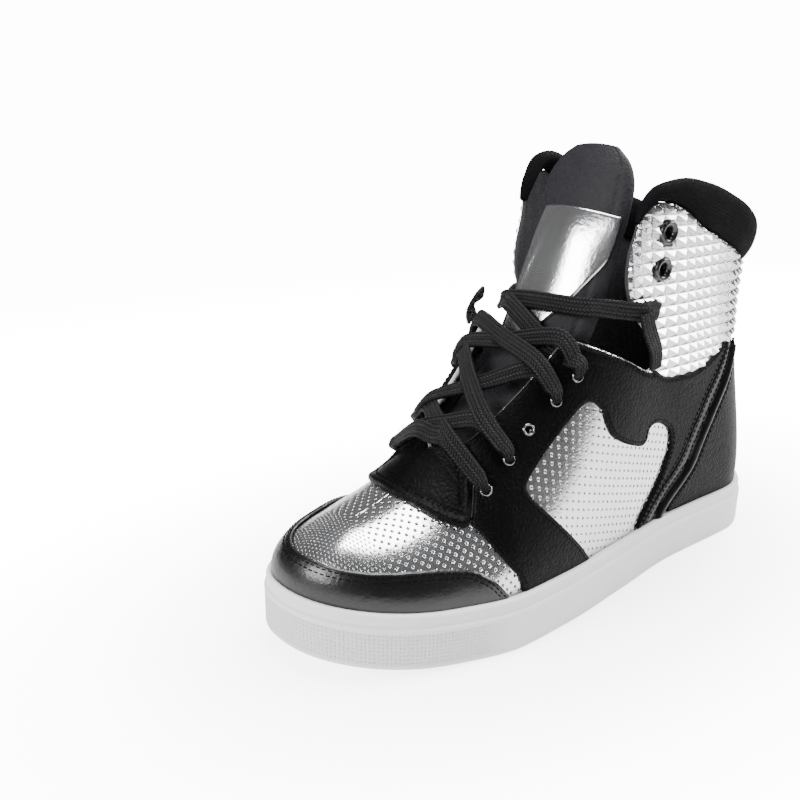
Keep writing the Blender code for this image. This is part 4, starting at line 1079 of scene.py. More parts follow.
def add_facing(name, side, window, node):
    ends = (0.25, 0.985) if side > 0 else (1.015, 1.75)
    cloth = Cloth(spread_columns(*ends, 0.0011), np.linspace(PANEL_FOOT, 1.0, 96))
    cloth.keep(cloth.distance(facing_outline(window)))
    cloth.keep(SET_BACK - cloth.distance(notch_outline()))
    cloth.keep(2 * GAP - cloth.distance(top_line(TAB_EDGE), 1))
    cloth.outside = np.maximum(cloth.outside, throat_edge(cloth) + SET_BACK)
    seam = cloth.outside.copy()
    cloth.punch(EYELETS, EYELET_HOLE)
    facing = raise_panel(name, cloth, OVERLAY, GAP, BLACK_LEATHER)
    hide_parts(node)
    add_stitches(name + "_stitches", cloth, seam, (0.0019,), GAP + OVERLAY)


def heel_outline(front):
    """Everything behind a line down the heel, seen from the side."""
    return rounded(front + BEHIND_HEEL, sharp=(0, 7, 8, 9))


BEAD_AT, BEAD_HALF, BEAD_RISE = 0.0034, 0.0021, 0.0016
CREASE_AT, CREASE_HALF, CREASE_DEPTH = 0.0068, 0.0008, 0.0005
BAND_EDGE = 0.0012
UNSTITCHED = 0.0075
NO_STITCH = 9


def add_heel_band(name, side, node):
    """A rolled band: a bead along its rear edge, a crease before it, stitches at the front."""
    ends = (0.60, 0.99) if side > 0 else (1.01, 1.40)
    cloth = Cloth(spread_columns(*ends, 0.0010), np.linspace(PANEL_FOOT, 0.66, 76))
    cloth.keep(cloth.distance(rounded(HEEL_FRONT + HEEL_REAR[::-1], sharp=(0, 7, 8, 15))))
    seam = cloth.outside.copy()
    behind = heel_outline(HEEL_REAR)

    def crown(inside, points):
        rear = distance_to(behind, points[:, 0], points[:, 2])
        bead = np.exp(-np.abs((rear - BEAD_AT) / BEAD_HALF) ** 2.6)
        crease = np.exp(-((rear - CREASE_AT) / CREASE_HALF) ** 2)
        return (BEAD_RISE * bead - CREASE_DEPTH * crease) * np.clip(inside / BAND_EDGE, 0, 1)

    band = raise_panel(name, cloth, OVERLAY, GAP, BAND_LEATHER, BAND_EDGE, crown)
    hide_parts(node)
    seam = seam + NO_STITCH * (cloth.distance(behind) < UNSTITCHED)
    add_stitches(name + "_stitches", cloth, seam, (0.0018,), GAP + OVERLAY)


def add_heel_counter():
    cloth = Cloth(spread_columns(0.68, 1.32, 0.0011), np.linspace(PANEL_FOOT, 0.70, 72))
    line = heel_outline(HEEL_REAR)
    line[:, 0] -= GAP / 3
    cloth.keep(cloth.distance(line))
    seam = cloth.outside.copy()
    counter = raise_panel("heel_counter_leather", cloth, OVERLAY, GAP, BLACK_LEATHER)
    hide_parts("heel_counter")
    add_stitches("heel_counter_stitches", cloth, seam, (0.0020,), GAP + OVERLAY)


TAB_EDGE_ROUND = 0.0015
TAB_HEM = 0.0016
TAB_SEAM, TAB_SEAM_HALF = 0.0046, 0.0008


def add_throat_tab():
    cloth = Cloth(spread_columns(-0.40, 0.40, 0.0010, 0.6), np.linspace(0.30, 1.0, 64))
    cloth.keep(cloth.distance(top_line(TAB_EDGE), 1))
    seam = cloth.outside.copy()

    def crown(inside, _):
        hem = np.exp(-((inside - TAB_HEM) / TAB_HEM) ** 2)
        drawn_in = np.exp(-((inside - TAB_SEAM) / TAB_SEAM_HALF) ** 2)
        return (TAB_THICKNESS - OVERLAY) * (0.35 + 0.65 * hem - 0.35 * drawn_in)

    tab = raise_panel("throat_tab_leather", cloth, OVERLAY, GAP, BLACK_LEATHER, TAB_EDGE_ROUND,
                      crown)
    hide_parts("throat_tab")
    add_stitches("throat_tab_stitches", cloth, seam, (TAB_SEAM,), GAP + OVERLAY + 0.0003)


add_toe_cap()
add_facing("facing_outer_leather", 1, WINDOW_OUTER, "facing_outer")
add_facing("facing_inner_leather", -1, WINDOW_INNER, "facing_inner")
add_heel_band("heel_band_outer_leather", 1, "heel_band_outer")
add_heel_band("heel_band_inner_leather", -1, "heel_band_inner")
add_heel_counter()
add_throat_tab()

# Collar leather: the silver panel that wraps the ankle, embossed with rows of four-sided
# pyramids, with painted shade along the foot of each. Its edges are tucked under the padding,
# the facings and the heel bands.

CELL_ALONG = 0.0073
CELL_UP = 0.0048
CELL_STEPS = 6
PYRAMID = 0.0019
EMBOSS_LIFT = 0.0002
EMBOSS_EDGE = 0.0016
TUCK = 0.0009
GROMMET_RADIUS = 0.0044
COLLAR_LOW, COLLAR_HIGH = 0.090, 0.182


def embossed_foil():
    made = Finish("embossed silver leather")
    at = made.place()
    crackle = made.noise(at, 1.1, 3.0, 0.6)
    cloud = made.noise(at, 0.05, 2.0)
    color = made.mix((0.70, 0.70, 0.72), (0.88, 0.88, 0.89), cloud)
    foot, _, _ = made.chart("painted_pyramid_shade")
    # Painted shade: a dark band along the foot of each pyramid.
    color = made.mix(color, (0.05, 0.05, 0.055), foot.step(0.60, 0.98) * 0.9)
    normal = made.bump(crackle, 0.10)
    return made.done(base_color=color, metallic=0.95, roughness=0.12 + 0.10 * crackle, normal=normal)


def add_collar_leather():
    fine = np.linspace(0.585, 1.415, 900)
    middle = surface(fine, np.full(900, 0.72))
    run = run_along(middle)
    around = round(run[-1] / CELL_ALONG) * CELL_STEPS
    qs = np.interp(np.linspace(0, run[-1], around + 1), run, fine)
    rows = int((COLLAR_HIGH - COLLAR_LOW) / CELL_UP) * CELL_STEPS
    levels = COLLAR_LOW + np.arange(rows + 1) * CELL_UP / CELL_STEPS
    cloth = Cloth(qs, np.linspace(0, 1, rows + 1))
    share = np.linspace(0.3, 1.0, 160)
    heights = surface(qs[:, None], share[None, :])[..., 2]
    for k, column in enumerate(heights):
        cloth.t[k] = np.interp(levels, column, share)
    cloth.points = surface(cloth.q, cloth.t)
    cloth.normals = normal(cloth.q, cloth.t)
    top = np.array([np.interp(wall_top(q), share, column) for q, column in zip(qs, heights)])
    lowest = heights[:, :1]
    cloth.outside = np.maximum(levels[None, :] - top[:, None] + GAP, lowest - levels[None, :])
    cloth.keep(-cloth.distance(notch_outline()))
    cloth.keep(-cloth.distance(facing_outline(WINDOW_OUTER)) - TUCK)
    cloth.keep(-cloth.distance(heel_outline(HEEL_FRONT)) - TUCK / 3)
    cloth.punch(GROMMETS, GROMMET_RADIUS)
    fu = np.abs((np.arange(around + 1) / CELL_STEPS) % 1 * 2 - 1)[:, None]
    fv = np.abs((np.arange(rows + 1) / CELL_STEPS) % 1 * 2 - 1)[None, :]
    shape = np.maximum(fu, fv)
    near = np.clip(-cloth.outside / EMBOSS_EDGE, 0, 1)
    height = GAP * 0.6 + PYRAMID * (1 - shape) * near * (2 - near) + EMBOSS_LIFT * near
    lifted = cloth.points + cloth.normals * height[..., None]
    k, m = cell_starts(*cloth.q.shape), cloth.q.shape[1]
    falling = ((fu[:-1] < fu[1:]) == (fv[:, :-1] < fv[:, 1:])).ravel()
    a, b, c, d = k, k + m, k + m + 1, k + 1
    one = np.where(falling[:, None], np.c_[a, b, c], np.c_[a, b, d])
    two = np.where(falling[:, None], np.c_[a, c, d], np.c_[b, c, d])
    row = (np.arange(rows + 1) / CELL_STEPS % 1)[None, :]
    # Where the painted shade lies: along the lower edge of each cell row, strongest under a pyramid's
    # middle.
    foot = (1 - np.abs(row - 0.02) * 5) * (1 - fu ** 2) + 0 * cloth.q
    faces, top_points, base, foot = cut(
        np.concatenate([one, two]), cloth.outside.ravel(), lifted.reshape(-1, 3),
        (cloth.points + cloth.normals * GAP * 0.1).reshape(-1, 3), foot.reshape(-1, 1))
    faces = close_back(faces, len(top_points))
    panel = add_mesh("collar_leather", np.concatenate([top_points, base]), faces, [embossed_foil()])
    add_chart(panel, "painted_pyramid_shade", np.tile(np.c_[foot, foot, foot], (2, 1)))
    panel.data.set_sharp_from_angle(angle=radians(18))
    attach(panel, "root")


add_collar_leather()

# Collar padding: a foam roll in black knit, sewn along the top of the shaft and turned over
# inside. The knit lies in fine courses round the roll, and its seam draws it in at the foot.

Pad = namedtuple("Pad", "outward up")
PAD_SECTION = [
    Pad(0.00, 0.00), Pad(0.18, 0.10), Pad(0.33, 0.30), Pad(0.38, 0.52), Pad(0.33, 0.75),
    Pad(0.17, 0.94), Pad(-0.12, 1.04), Pad(-0.42, 0.97), Pad(-0.62, 0.80), Pad(-0.68, 0.55),
    Pad(-0.58, 0.28), Pad(-0.45, 0.06), Pad(-0.38, -0.06), Pad(-0.30, -0.05), Pad(-0.25, 0.00),
]
COLLAR_PADDING = 0.0085
FLARE_BEND = 0.75 * pi
PADDING_FROM = 0.6154
KNIT_PITCH = 0.75
WANDER_STEP = 0.009
WANDER_DEPTH = 0.00028


def black_knit():
    """Knitted courses: small slanting stitches in rows, matt, lighter on each loop's crest and darker
    between loops.
    """
    made = Finish("black knit")
    u, v, _ = made.chart("weave")
    row = (v / KNIT_PITCH) % 1
    slant = abs((u / KNIT_PITCH + 0.55 * abs(row * 2 - 1)) % 1 - 0.5)
    loop = (1 - slant * 2) * (1 - abs(row * 2 - 1) ** 2)
    at = made.place()
    fibre = made.noise(at, 5.0, 2.0)
    cloud = made.noise(at, 0.12, 2.0)
    color = made.mix((0.0020, 0.0020, 0.0025), (0.010, 0.010, 0.011),
                     loop.step(0.1, 0.9) * (0.35 + 0.65 * cloud))
    normal = made.bump(loop, 0.22, made.bump(fibre, 0.08))
    return made.done(base_color=color, roughness=0.82 + 0.1 * fibre, specular_ior_level=0.06,
                     normal=normal)


def between(a, b, c, d, t):
    """A point of the smooth curve from b to c, whose neighbours are a and d."""
    return 0.5 * (2 * b + (c - a) * t + (2 * a - 5 * b + 4 * c - d) * t * t
                  + (3 * b - a - 3 * c + d) * t ** 3)


def closed_curve(points, steps):
    """Smooth closed curve through the corners of a section."""
    p = np.asarray(points, float)
    line = []
    for i in range(len(p)):
        a, b, c, d = p[i - 1], p[i], p[(i + 1) % len(p)], p[(i + 2) % len(p)]
        for t in np.arange(steps) / steps:
            line.append(between(a, b, c, d, t))
    return np.array(line)


def add_collar_padding():
    table = columns(COLLAR)
    qs = spread_columns(PADDING_FROM, 2 - PADDING_FROM, 0.0010, 0.95)
    section = closed_curve([(pad.outward, pad.up) for pad in PAD_SECTION], 5)
    along = np.where(qs <= 1, qs, 2 - qs)
    start = wall_top(qs)
    swell = smooth(table["along"], table["swell"], along)
    flare = smooth(table["along"], table["flare"], along) * COLLAR_PADDING
    base, top, out = surface(qs, start), surface(qs, 1.0), normal(qs, start)
    rise = top - base
    height = np.linalg.norm(rise, axis=1)
    rise = rise / height[:, None]
    thick = COLLAR_PADDING * swell
    run = run_along(top)
    knots = np.arange(0, run[-1] + 0.02, WANDER_STEP)
    wander = np.interp(run, knots, np.random.default_rng(5).normal(0, 1, len(knots)))
    points, charts = [], []
    turn = run_along(section)
    up = section[:, 1]
    for k in range(len(qs)):
        outward = section[:, 0] * thick[k] + flare[k] * np.sin(FLARE_BEND * np.clip(up, 0, 1))
        soft = WANDER_DEPTH * wander[k] * np.sin(pi * np.clip(up, 0, 1)) * swell[k]
        points.append(base[k] + out[k] * (outward + soft)[:, None]
                      + rise[k] * (2 * GAP + up * (height[k] - 2 * GAP))[:, None])
        charts.append(np.c_[np.full(len(up), run[k] * 1000), turn * COLLAR_PADDING * 1.1 * 1000,
                            np.zeros(len(up))])
    n, m = len(qs), len(section)
    faces = tube_faces(n, m) + end_faces(n, m)
    padding = add_mesh("collar_padding_knit", np.concatenate(points), faces, [black_knit()])
    add_chart(padding, "weave", np.concatenate(charts))
    face_out(padding)
    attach(padding, "root")
    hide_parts("collar_padding")


add_collar_padding()

# Tongue: a padded tongue of thin grained leather on black cloth. It runs up under the laces,
# stands free in the collar's mouth and has a trim at its edge where the foam ends.

Tongue = namedtuple("Tongue", "x z inner outer sag")
TONGUE = [
    Tongue(0.232, 0.375, 0.30, 0.30, 0.05), Tongue(0.180, 0.430, 0.42, 0.42, 0.13),
    Tongue(0.118, 0.510, 0.46, 0.46, 0.15), Tongue(0.066, 0.597, 0.48, 0.48, 0.17),
    Tongue(0.030, 0.695, 0.50, 0.50, 0.18), Tongue(0.004, 0.800, 0.49, 0.50, 0.18),
    Tongue(-0.024, 0.905, 0.50, 0.50, 0.16), Tongue(-0.056, 1.000, 0.52, 0.45, 0.13),
    Tongue(-0.076, 1.055, 0.42, 0.33, 0.09), Tongue(-0.086, 1.080, 0.25, 0.20, 0.05),
]
TONGUE_THICKNESS = 0.0055
TONGUE_ROUND = 0.0040
TRIM_AT, TRIM_HALF, TRIM_DEPTH = 0.0042, 0.0007, 0.0006


def tongue_face(rise, across):
    """Front face of the tongue and its outward direction: rise 0 at the toe end to 1 at the
    top, across -1 at the inner edge to 1 at the outer one."""
    rise, across = np.broadcast_arrays(np.asarray(rise, float), np.asarray(across, float))
    table = columns(TONGUE)
    at = np.linspace(0, 1, len(TONGUE))
    get = {name: smooth(at, table[name], rise) for name in Tongue._fields}
    ahead = {name: smooth(at, table[name], np.minimum(rise + 0.01, 1)) for name in ("x", "z")}
    back = {name: smooth(at, table[name], np.maximum(rise - 0.01, 0)) for name in ("x", "z")}
    dx, dz = (ahead["x"] - back["x"]) * LENGTH, (ahead["z"] - back["z"]) * SHAFT_HEIGHT
    out = np.stack([dz, dx * 0, -dx], axis=-1) / np.hypot(dx, dz)[..., None]
    sag = get["sag"] * HALF_BALL * across ** 2
    reach = np.where(across < 0, get["inner"], get["outer"])
    center = np.stack([get["x"] * LENGTH, across * reach * HALF_BALL,
                       get["z"] * SHAFT_HEIGHT], axis=-1)
    return center - out * sag[..., None], out


def tongue_leather():
    made = Finish("tongue leather")
    at = made.place()
    pebble = made.cells(at, 1.0, "SMOOTH_F1")
    streak = made.noise(at, 0.45, 4.0, 0.6)
    color = made.mix((0.010, 0.010, 0.012), (0.024, 0.023, 0.027), streak)
    normal = made.bump(pebble, -0.22, made.bump(made.noise(at, 0.10, 3.0), 0.6))
    return made.done(base_color=color, roughness=0.52 + 0.15 * streak, specular_ior_level=0.16,
                     normal=normal)


def add_pad(name, rises, across, front, rear, finish):
    """Closed pad between two depths off the tongue's face. across has a row for each rise."""
    rise = np.repeat(np.asarray(rises)[:, None], across.shape[1], axis=1)
    points, out = tongue_face(rise, across)
    n, m = rise.shape
    both = np.concatenate([(points + out * front[..., None]).reshape(-1, 3),
                           (points + out * rear[..., None]).reshape(-1, 3)])
    k = cell_starts(n, m)
    faces = np.c_[k, k + 1, k + m + 1, k + m]
    border = ([j for j in range(m)] + [i * m + m - 1 for i in range(1, n)]
              + [(n - 1) * m + j for j in range(m - 2, -1, -1)] + [i * m for i in range(n - 2, 0, -1)])
    sides = [(b, a, a + n * m, b + n * m) for a, b in zip(border, border[1:] + border[:1])]
    piece = add_mesh(name, both, np.concatenate([faces, faces[:, ::-1] + n * m, sides]), [finish])
    face_out(piece)
    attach(piece, "root")
    return piece


def add_tongue():
    rises = 0.5 - 0.5 * np.cos(np.linspace(0, pi, 150))
    share = np.sin(np.linspace(-pi / 2, pi / 2, 60))
    across = np.repeat(share[None, :], len(rises), axis=0)
    edge = np.minimum(1 - np.abs(across), 1.0) * 0.022
    ends = np.minimum(rises, 1 - rises)[:, None] * 0.16 + across * 0
    inside = np.minimum(edge, ends)
    near = np.clip(inside / TONGUE_ROUND, 0, 1)
    round_off = np.sqrt(np.clip(1 - (1 - near) ** 2, 0, 1))
    channel = TRIM_DEPTH * np.exp(-((inside - TRIM_AT) / TRIM_HALF) ** 2)
    half = TONGUE_THICKNESS / 2
    front = -half + half * round_off - channel
    rear = -half - half * round_off
    tongue = add_pad("tongue_leather", rises, across, front, rear, tongue_leather())
    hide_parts("tongue")


add_tongue()

# Tongue panel: a plain silver foil patch sewn on the tongue's front, wide at the top and cut
# away toward the laces on the outer side. It lies slack and bends with the foam.

PatchEdge = namedtuple("PatchEdge", "rise inner outer")
PATCH = [
    PatchEdge(0.370, -0.60, 0.08), PatchEdge(0.400, -0.62, 0.22), PatchEdge(0.430, -0.66, 0.36),
    PatchEdge(0.475, -0.70, 0.58), PatchEdge(0.540, -0.68, 0.82), PatchEdge(0.600, -0.64, 0.97),
    PatchEdge(0.650, -0.58, 0.985), PatchEdge(0.695, -0.52, 0.985),
]
PATCH_SEAT = 1.5 * GAP
PATCH_SKIVE = 0.0010
PATCH_SLACK = 0.0011
PATCH_FOLD = 0.0013


def add_tongue_panel():
    table = columns(PATCH)
    rises = np.linspace(PATCH[0].rise, PATCH[-1].rise, 90)
    low = smooth(table["rise"], table["inner"], rises)[:, None]
    high = smooth(table["rise"], table["outer"], rises)[:, None]
    share = np.sin(np.linspace(-pi / 2, pi / 2, 70))[None, :] * 0.5 + 0.5
    across = low + (high - low) * share
    up = np.linspace(0, 1, 90)[:, None]
    near = np.minimum(np.minimum(share, 1 - share) * 0.040, np.minimum(up, 1 - up) * 0.055)
    skive = np.sqrt(np.clip(1 - (1 - np.clip(near / PATCH_SKIVE, 0, 1)) ** 2, 0, 1))
    wave = 0.5 + 0.5 * np.sin(7.0 * up + 2.6 * share)
    slack = PATCH_SLACK * np.sin(pi * share) * wave * np.sin(pi * up)
    fold = PATCH_FOLD * np.exp(-((share - 0.10 - 0.10 * up) / 0.06) ** 2) * np.sin(pi * up)
    front = PATCH_SEAT + OVERLAY * (0.35 + 0.65 * skive) + (slack + fold)
    rear = np.full(front.shape, PATCH_SEAT)
    foil = silver_foil("tongue foil", holes=False)
    panel = add_pad("tongue_patch", rises, across, front, rear, foil)
    panel.data.set_sharp_from_angle(angle=radians(50))
    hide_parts("tongue_panel")


add_tongue_panel()

# Eyelets and grommets: rolled steel rings pressed through the facing, and large enamelled
# ones in the collar's flaps, with a sleeve that lines the hole.

RingPoint = namedtuple("RingPoint", "radius height")
EYELET_SECTION = [
    RingPoint(0.00240, 0.00000), RingPoint(0.00243, 0.00022), RingPoint(0.00230, 0.00048),
    RingPoint(0.00204, 0.00060), RingPoint(0.00174, 0.00044), RingPoint(0.00150, 0.00002),
    RingPoint(0.00134, -0.00120), RingPoint(0.00134, -0.00300),
]
GROMMET_SECTION = [
    RingPoint(0.00490, 0.00030), RingPoint(0.00498, 0.00070), RingPoint(0.00470, 0.00125),
    RingPoint(0.00410, 0.00165), RingPoint(0.00340, 0.00150), RingPoint(0.00270, 0.00080),
    RingPoint(0.00225, -0.00020), RingPoint(0.00208, -0.00160), RingPoint(0.00208, -0.00290),
]
SLEEVE_WALL = 0.00012
RING_SIDES = 40


def steel():
    made = Finish("plated steel")
    wear = made.noise(made.place(), 1.2, 2.0)
    return made.done(base_color=made.mix((0.16, 0.16, 0.17), (0.32, 0.32, 0.33), wear), metallic=1.0,
                     roughness=0.20 + 0.10 * wear)


def black_enamel():
    made = Finish("black enamel")
    wear = made.noise(made.place(), 0.9, 2.0)
    return made.done(base_color=made.mix((0.004, 0.004, 0.004), (0.010, 0.010, 0.010), wear),
                     roughness=0.22 + 0.12 * wear, coat_weight=0.5, normal=made.bump(wear, 0.03))


def add_ring(name, node, section, seat, side, spot, finish):
    q, t = locate(side, spot.x * LENGTH, spot.z * SHAFT_HEIGHT)
    center, out = surface(q, t) + normal(q, t) * seat, normal(q, t)
    start = np.cross(out, (0.0, 0.0, 1.0))
    start /= np.linalg.norm(start)
    other = np.cross(out, start)
    profile = np.array(section)
    fine = np.linspace(0, 1, 4 * len(section))
    at = np.linspace(0, 1, len(section))
    radius, height = smooth(at, profile[:, 0], fine), smooth(at, profile[:, 1], fine)
    radius = np.concatenate([radius, radius[::-1] + SLEEVE_WALL])
    height = np.concatenate([height, np.minimum(height[::-1], height[0]) - SLEEVE_WALL * 0.2])
    sides = RING_SIDES
    a = np.arange(sides) * 2 * pi / sides
    spoke = start * np.cos(a)[:, None] + other * np.sin(a)[:, None]
    points = center + spoke[None] * radius[:, None, None] + out * height[:, None, None]
    n = len(radius)
    faces = [(k * sides + i, k * sides + (i + 1) % sides, (k + 1) % n * sides + (i + 1) % sides,
              (k + 1) % n * sides + i) for k in range(n) for i in range(sides)]
    ring = add_mesh(name, points.reshape(-1, 3), faces, [finish])
    face_out(ring)
    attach(ring, "root")
    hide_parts(node)


def add_rings():
    plated, enamel = steel(), black_enamel()
    for side, word in ((1, "outer"), (-1, "inner")):
        for number, spot in enumerate(EYELETS, 1):
            add_ring(f"eyelet_ring_{word}_{number}", f"eyelet_{word}_{number}", EYELET_SECTION,
                     GAP + OVERLAY, side, spot, plated)
        for number, spot in enumerate(GROMMETS, 1):
            add_ring(f"grommet_ring_{word}_{number}", f"grommet_{word}_{number}", GROMMET_SECTION,
                     GAP, side, spot, enamel)


add_rings()

# Laces: flat black polyester braid, 8 mm wide, with raised lengthwise ribs of slanting
# stitches. Each length is drawn narrow where it dips into an eyelet and lies flat between.

LACE_WIDTH = 0.0078
LACE_THICKNESS = 0.0024
LACE_RIBS = 5
LACE_SECTION_POINTS = 44
LACE_PITCH = 1.45
LACE_RIB_DEPTH = 0.00068
LACE_SPACING = 0.0006
CURVE_STEPS = 24


def black_braid():
    """Braid: slanting stitches that alternate from rib to rib, with a soft sheen, a painted highlight
    on each stitch loop and painted shade in the gaps.
    """
    made = Finish("black braid")
    run, across, _ = made.chart("braid")
    rib = across * LACE_RIBS
    place = rib % 1
    lean = (rib / 2 % 1).step(0.4999, 0.5001)
    slant = run / LACE_PITCH + (place - 0.5) * (1 - 2 * lean) * 0.9 + lean * 0.5
    stitch = abs(slant % 1 * 2 - 1)
    loop = (1 - stitch ** 2) * (1 - abs(place * 2 - 1) ** 3)
    fibre = made.noise(made.place(), 4.0, 2.0)
    # Painted highlight and shade: stitch loops are coloured lighter and the gaps between them near
    # black, partly varied by a random fibre tone.
    color = made.mix((0.0010, 0.0010, 0.0012), (0.016, 0.016, 0.017), loop * (0.5 + fibre))
    normal = made.bump(loop, 0.60, made.bump(fibre, 0.08))
    return made.done(base_color=color, roughness=0.48 + 0.15 * fibre, specular_ior_level=0.17,
                     normal=normal)


BLACK_BRAID = black_braid()


def curve_through(points, spacing):
    """Smooth open curve through given points, cut evenly; also each input's run along it."""
    p = np.asarray(points, float)
    p = np.vstack([2 * p[0] - p[1], p, 2 * p[-1] - p[-2]])
    fine = []
    for i in range(1, len(p) - 2):
        for t in np.linspace(0, 1, CURVE_STEPS, endpoint=False):
            fine.append(between(*p[i - 1:i + 3], t))
    fine.append(p[-2])
    fine = np.array(fine)
    run = run_along(fine)
    at = np.linspace(0, run[-1], max(int(run[-1] / spacing), 8))
    path = np.stack([np.interp(at, run, fine[:, k]) for k in range(3)], axis=1)
    return path, at, run[::CURVE_STEPS]


def lace(points, outs, widths, start=0.0):
    """A flat ribbed lace along a curve, its broad face turned to the given directions."""
    path, at, marks = curve_through(points, LACE_SPACING)
    facing = np.stack([np.interp(at, marks, np.array(outs)[:, k]) for k in range(3)], axis=1)
    width = np.interp(at, marks, widths)
    ahead = np.gradient(path, axis=0)
    ahead /= np.linalg.norm(ahead, axis=1)[:, None]
    across = np.cross(ahead, facing)
    across /= np.linalg.norm(across, axis=1)[:, None]
    out = np.cross(across, ahead)
    turn = np.arange(LACE_SECTION_POINTS) * 2 * pi / LACE_SECTION_POINTS
    u = np.cos(turn)
    flat = np.sign(np.sin(turn)) * np.abs(np.sin(turn)) ** 0.55
    u = np.sign(u) * np.abs(u) ** 0.9
    rib = 0.5 - 0.5 * np.abs(np.sin(LACE_RIBS * pi * (u + 1) / 2))
    loops, charts = [], []
    for k in range(len(path)):
        half = LACE_WIDTH / 2 * width[k]
        thick = LACE_THICKNESS / 2 * (1 + 0.9 * (1 - width[k]))
        body = flat * (thick - LACE_RIB_DEPTH * rib)
        loops.append(path[k] + across[k] * (u * half)[:, None] + out[k] * body[:, None])
        charts.append(np.c_[np.full(len(u), (at[k] + start) * 1000), (u + 1) / 2, u * 0])
    n, m = len(path), LACE_SECTION_POINTS
    return np.concatenate(loops), tube_faces(n, m) + end_faces(n, m), np.concatenate(charts)


def add_lace(name, parts, node):
    """One mesh from several lengths of lace."""
    points, faces, charts = [], [], []
    count = 0
    for p, f, c in parts:
        faces += [[v + count for v in loop] for loop in f]
        points.append(p)
        charts.append(c)
        count += len(p)
    piece = add_mesh(name, np.concatenate(points), faces, [BLACK_BRAID])
    add_chart(piece, "braid", np.concatenate(charts))
    face_out(piece)
    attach(piece, "root")
    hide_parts(node)


Spot = namedtuple("Spot", "on u v off")
Bar = namedtuple("Bar", "inner outer inner_lift lift outer_lift over_tab")
BARS = [
    Bar(1, 1, 0.3, 0.0, 0.0, 1), Bar(2, 1, 0.0, 0.6, 1.1, 0), Bar(1, 2, 0.0, 0.4, 0.0, 1),
    Bar(4, 2, 0.1, 0.9, 1.0, 0), Bar(2, 4, 0.9, 0.1, 0.0, 0), Bar(5, 4, 0.1, 0.9, 1.0, 0),
    Bar(4, 5, 0.9, 0.1, 0.0, 0),
]
LACE_SEAT = GAP + OVERLAY + 0.0004
BAR_RISE = 0.0010
BAR_STAGGER = 0.0137
IN_THE_HOLE = [0.30, 0.34, 0.62, 0.92, 1.0]


def bar_stretch(bar):
    """From inside an inner eyelet over the throat and the tongue to an outer eyelet."""
    ends = []
    seat = LACE_SEAT + LACE_THICKNESS / 2 + bar.over_tab * (TAB_THICKNESS - OVERLAY + GAP)
    for side, number in ((-1, bar.inner), (1, bar.outer)):
        spot = EYELETS[number - 1]
        q, t = locate(side, spot.x * LENGTH, spot.z * SHAFT_HEIGHT)
        hole, out = surface(q, t), normal(q, t)
        rim, rim_out = surface(q, 1.0), normal(q, 1.0)
        toward = (rim - hole) / np.linalg.norm(rim - hole)
        ends.append((hole, out, toward, rim + rim_out * seat, rim_out))
    a, b = ends
    up = (a[4] + b[4]) / np.linalg.norm(a[4] + b[4])
    middle = (a[3] + b[3]) / 2 + up * (BAR_RISE + bar.lift * LACE_THICKNESS)
    points, outs, widths = [], [], []
    for (hole, out, toward, rim, rim_out), lift in ((a, bar.inner_lift), (b, bar.outer_lift)):
        shoulder = rim + (middle - rim) * 0.12 + rim_out * lift * LACE_THICKNESS
        leg = [hole - out * 0.0030 - toward * 0.0002, hole + out * 0.0004 + toward * 0.0002,
               hole + out * (seat + 0.0003 + lift * 0.0006) + toward * 0.0024,
               hole + out * (seat + lift * LACE_THICKNESS * 0.5) + toward * 0.0058, shoulder]
        facing = [toward * -0.8 + out * 0.2, out - toward * 0.9, out, out, rim_out]
        if hole is b[0]:
            leg, facing = leg[::-1], facing[::-1]
        points.append(leg)
        outs.append(facing)
    points = points[0] + [middle] + points[1]
    outs = outs[0] + [up] + outs[1]
    return points, outs, IN_THE_HOLE + [1.0] + IN_THE_HOLE[::-1]


def spot_at(spot):
    """A point off a face and the face's outward direction. On the upper u and v are shares of
    LENGTH and SHAFT_HEIGHT; on the tongue they are its rise and its share across."""
    if spot.on == "tongue":
        point, out = tongue_face(spot.u, spot.v)
        return point + out * spot.off, out
    side = 1 if spot.on == "outer" else -1
    q, t = locate(side, spot.u * LENGTH, spot.v * SHAFT_HEIGHT)
    return surface(q, t) + normal(q, t) * spot.off, normal(q, t)


HIGH_START = [
    Spot("tongue", 0.455, -1.00, 0.0036), Spot("tongue", 0.440, -0.50, 0.0052),
    Spot("tongue", 0.412, 0.00, 0.0060), Spot("tongue", 0.382, 0.42, 0.0066),
    Spot("tongue", 0.354, 0.80, 0.0074),
]


def add_bars():
    parts = []
    for number, bar in enumerate(BARS):
        points, outs, widths = bar_stretch(bar)
        parts.append(lace(points, outs, widths, BAR_STAGGER * number))
    points, outs = zip(*[spot_at(spot) for spot in HIGH_START])
    rest = [part[7:] for part in bar_stretch(Bar(5, 5, 0.0, 1.0, 1.9, 0))]
    parts.append(lace([*points, *rest[0]], [*outs, *rest[1]], [1.0] * len(points) + rest[2], 0.11))
    add_lace("lace_bars", parts, "laces")


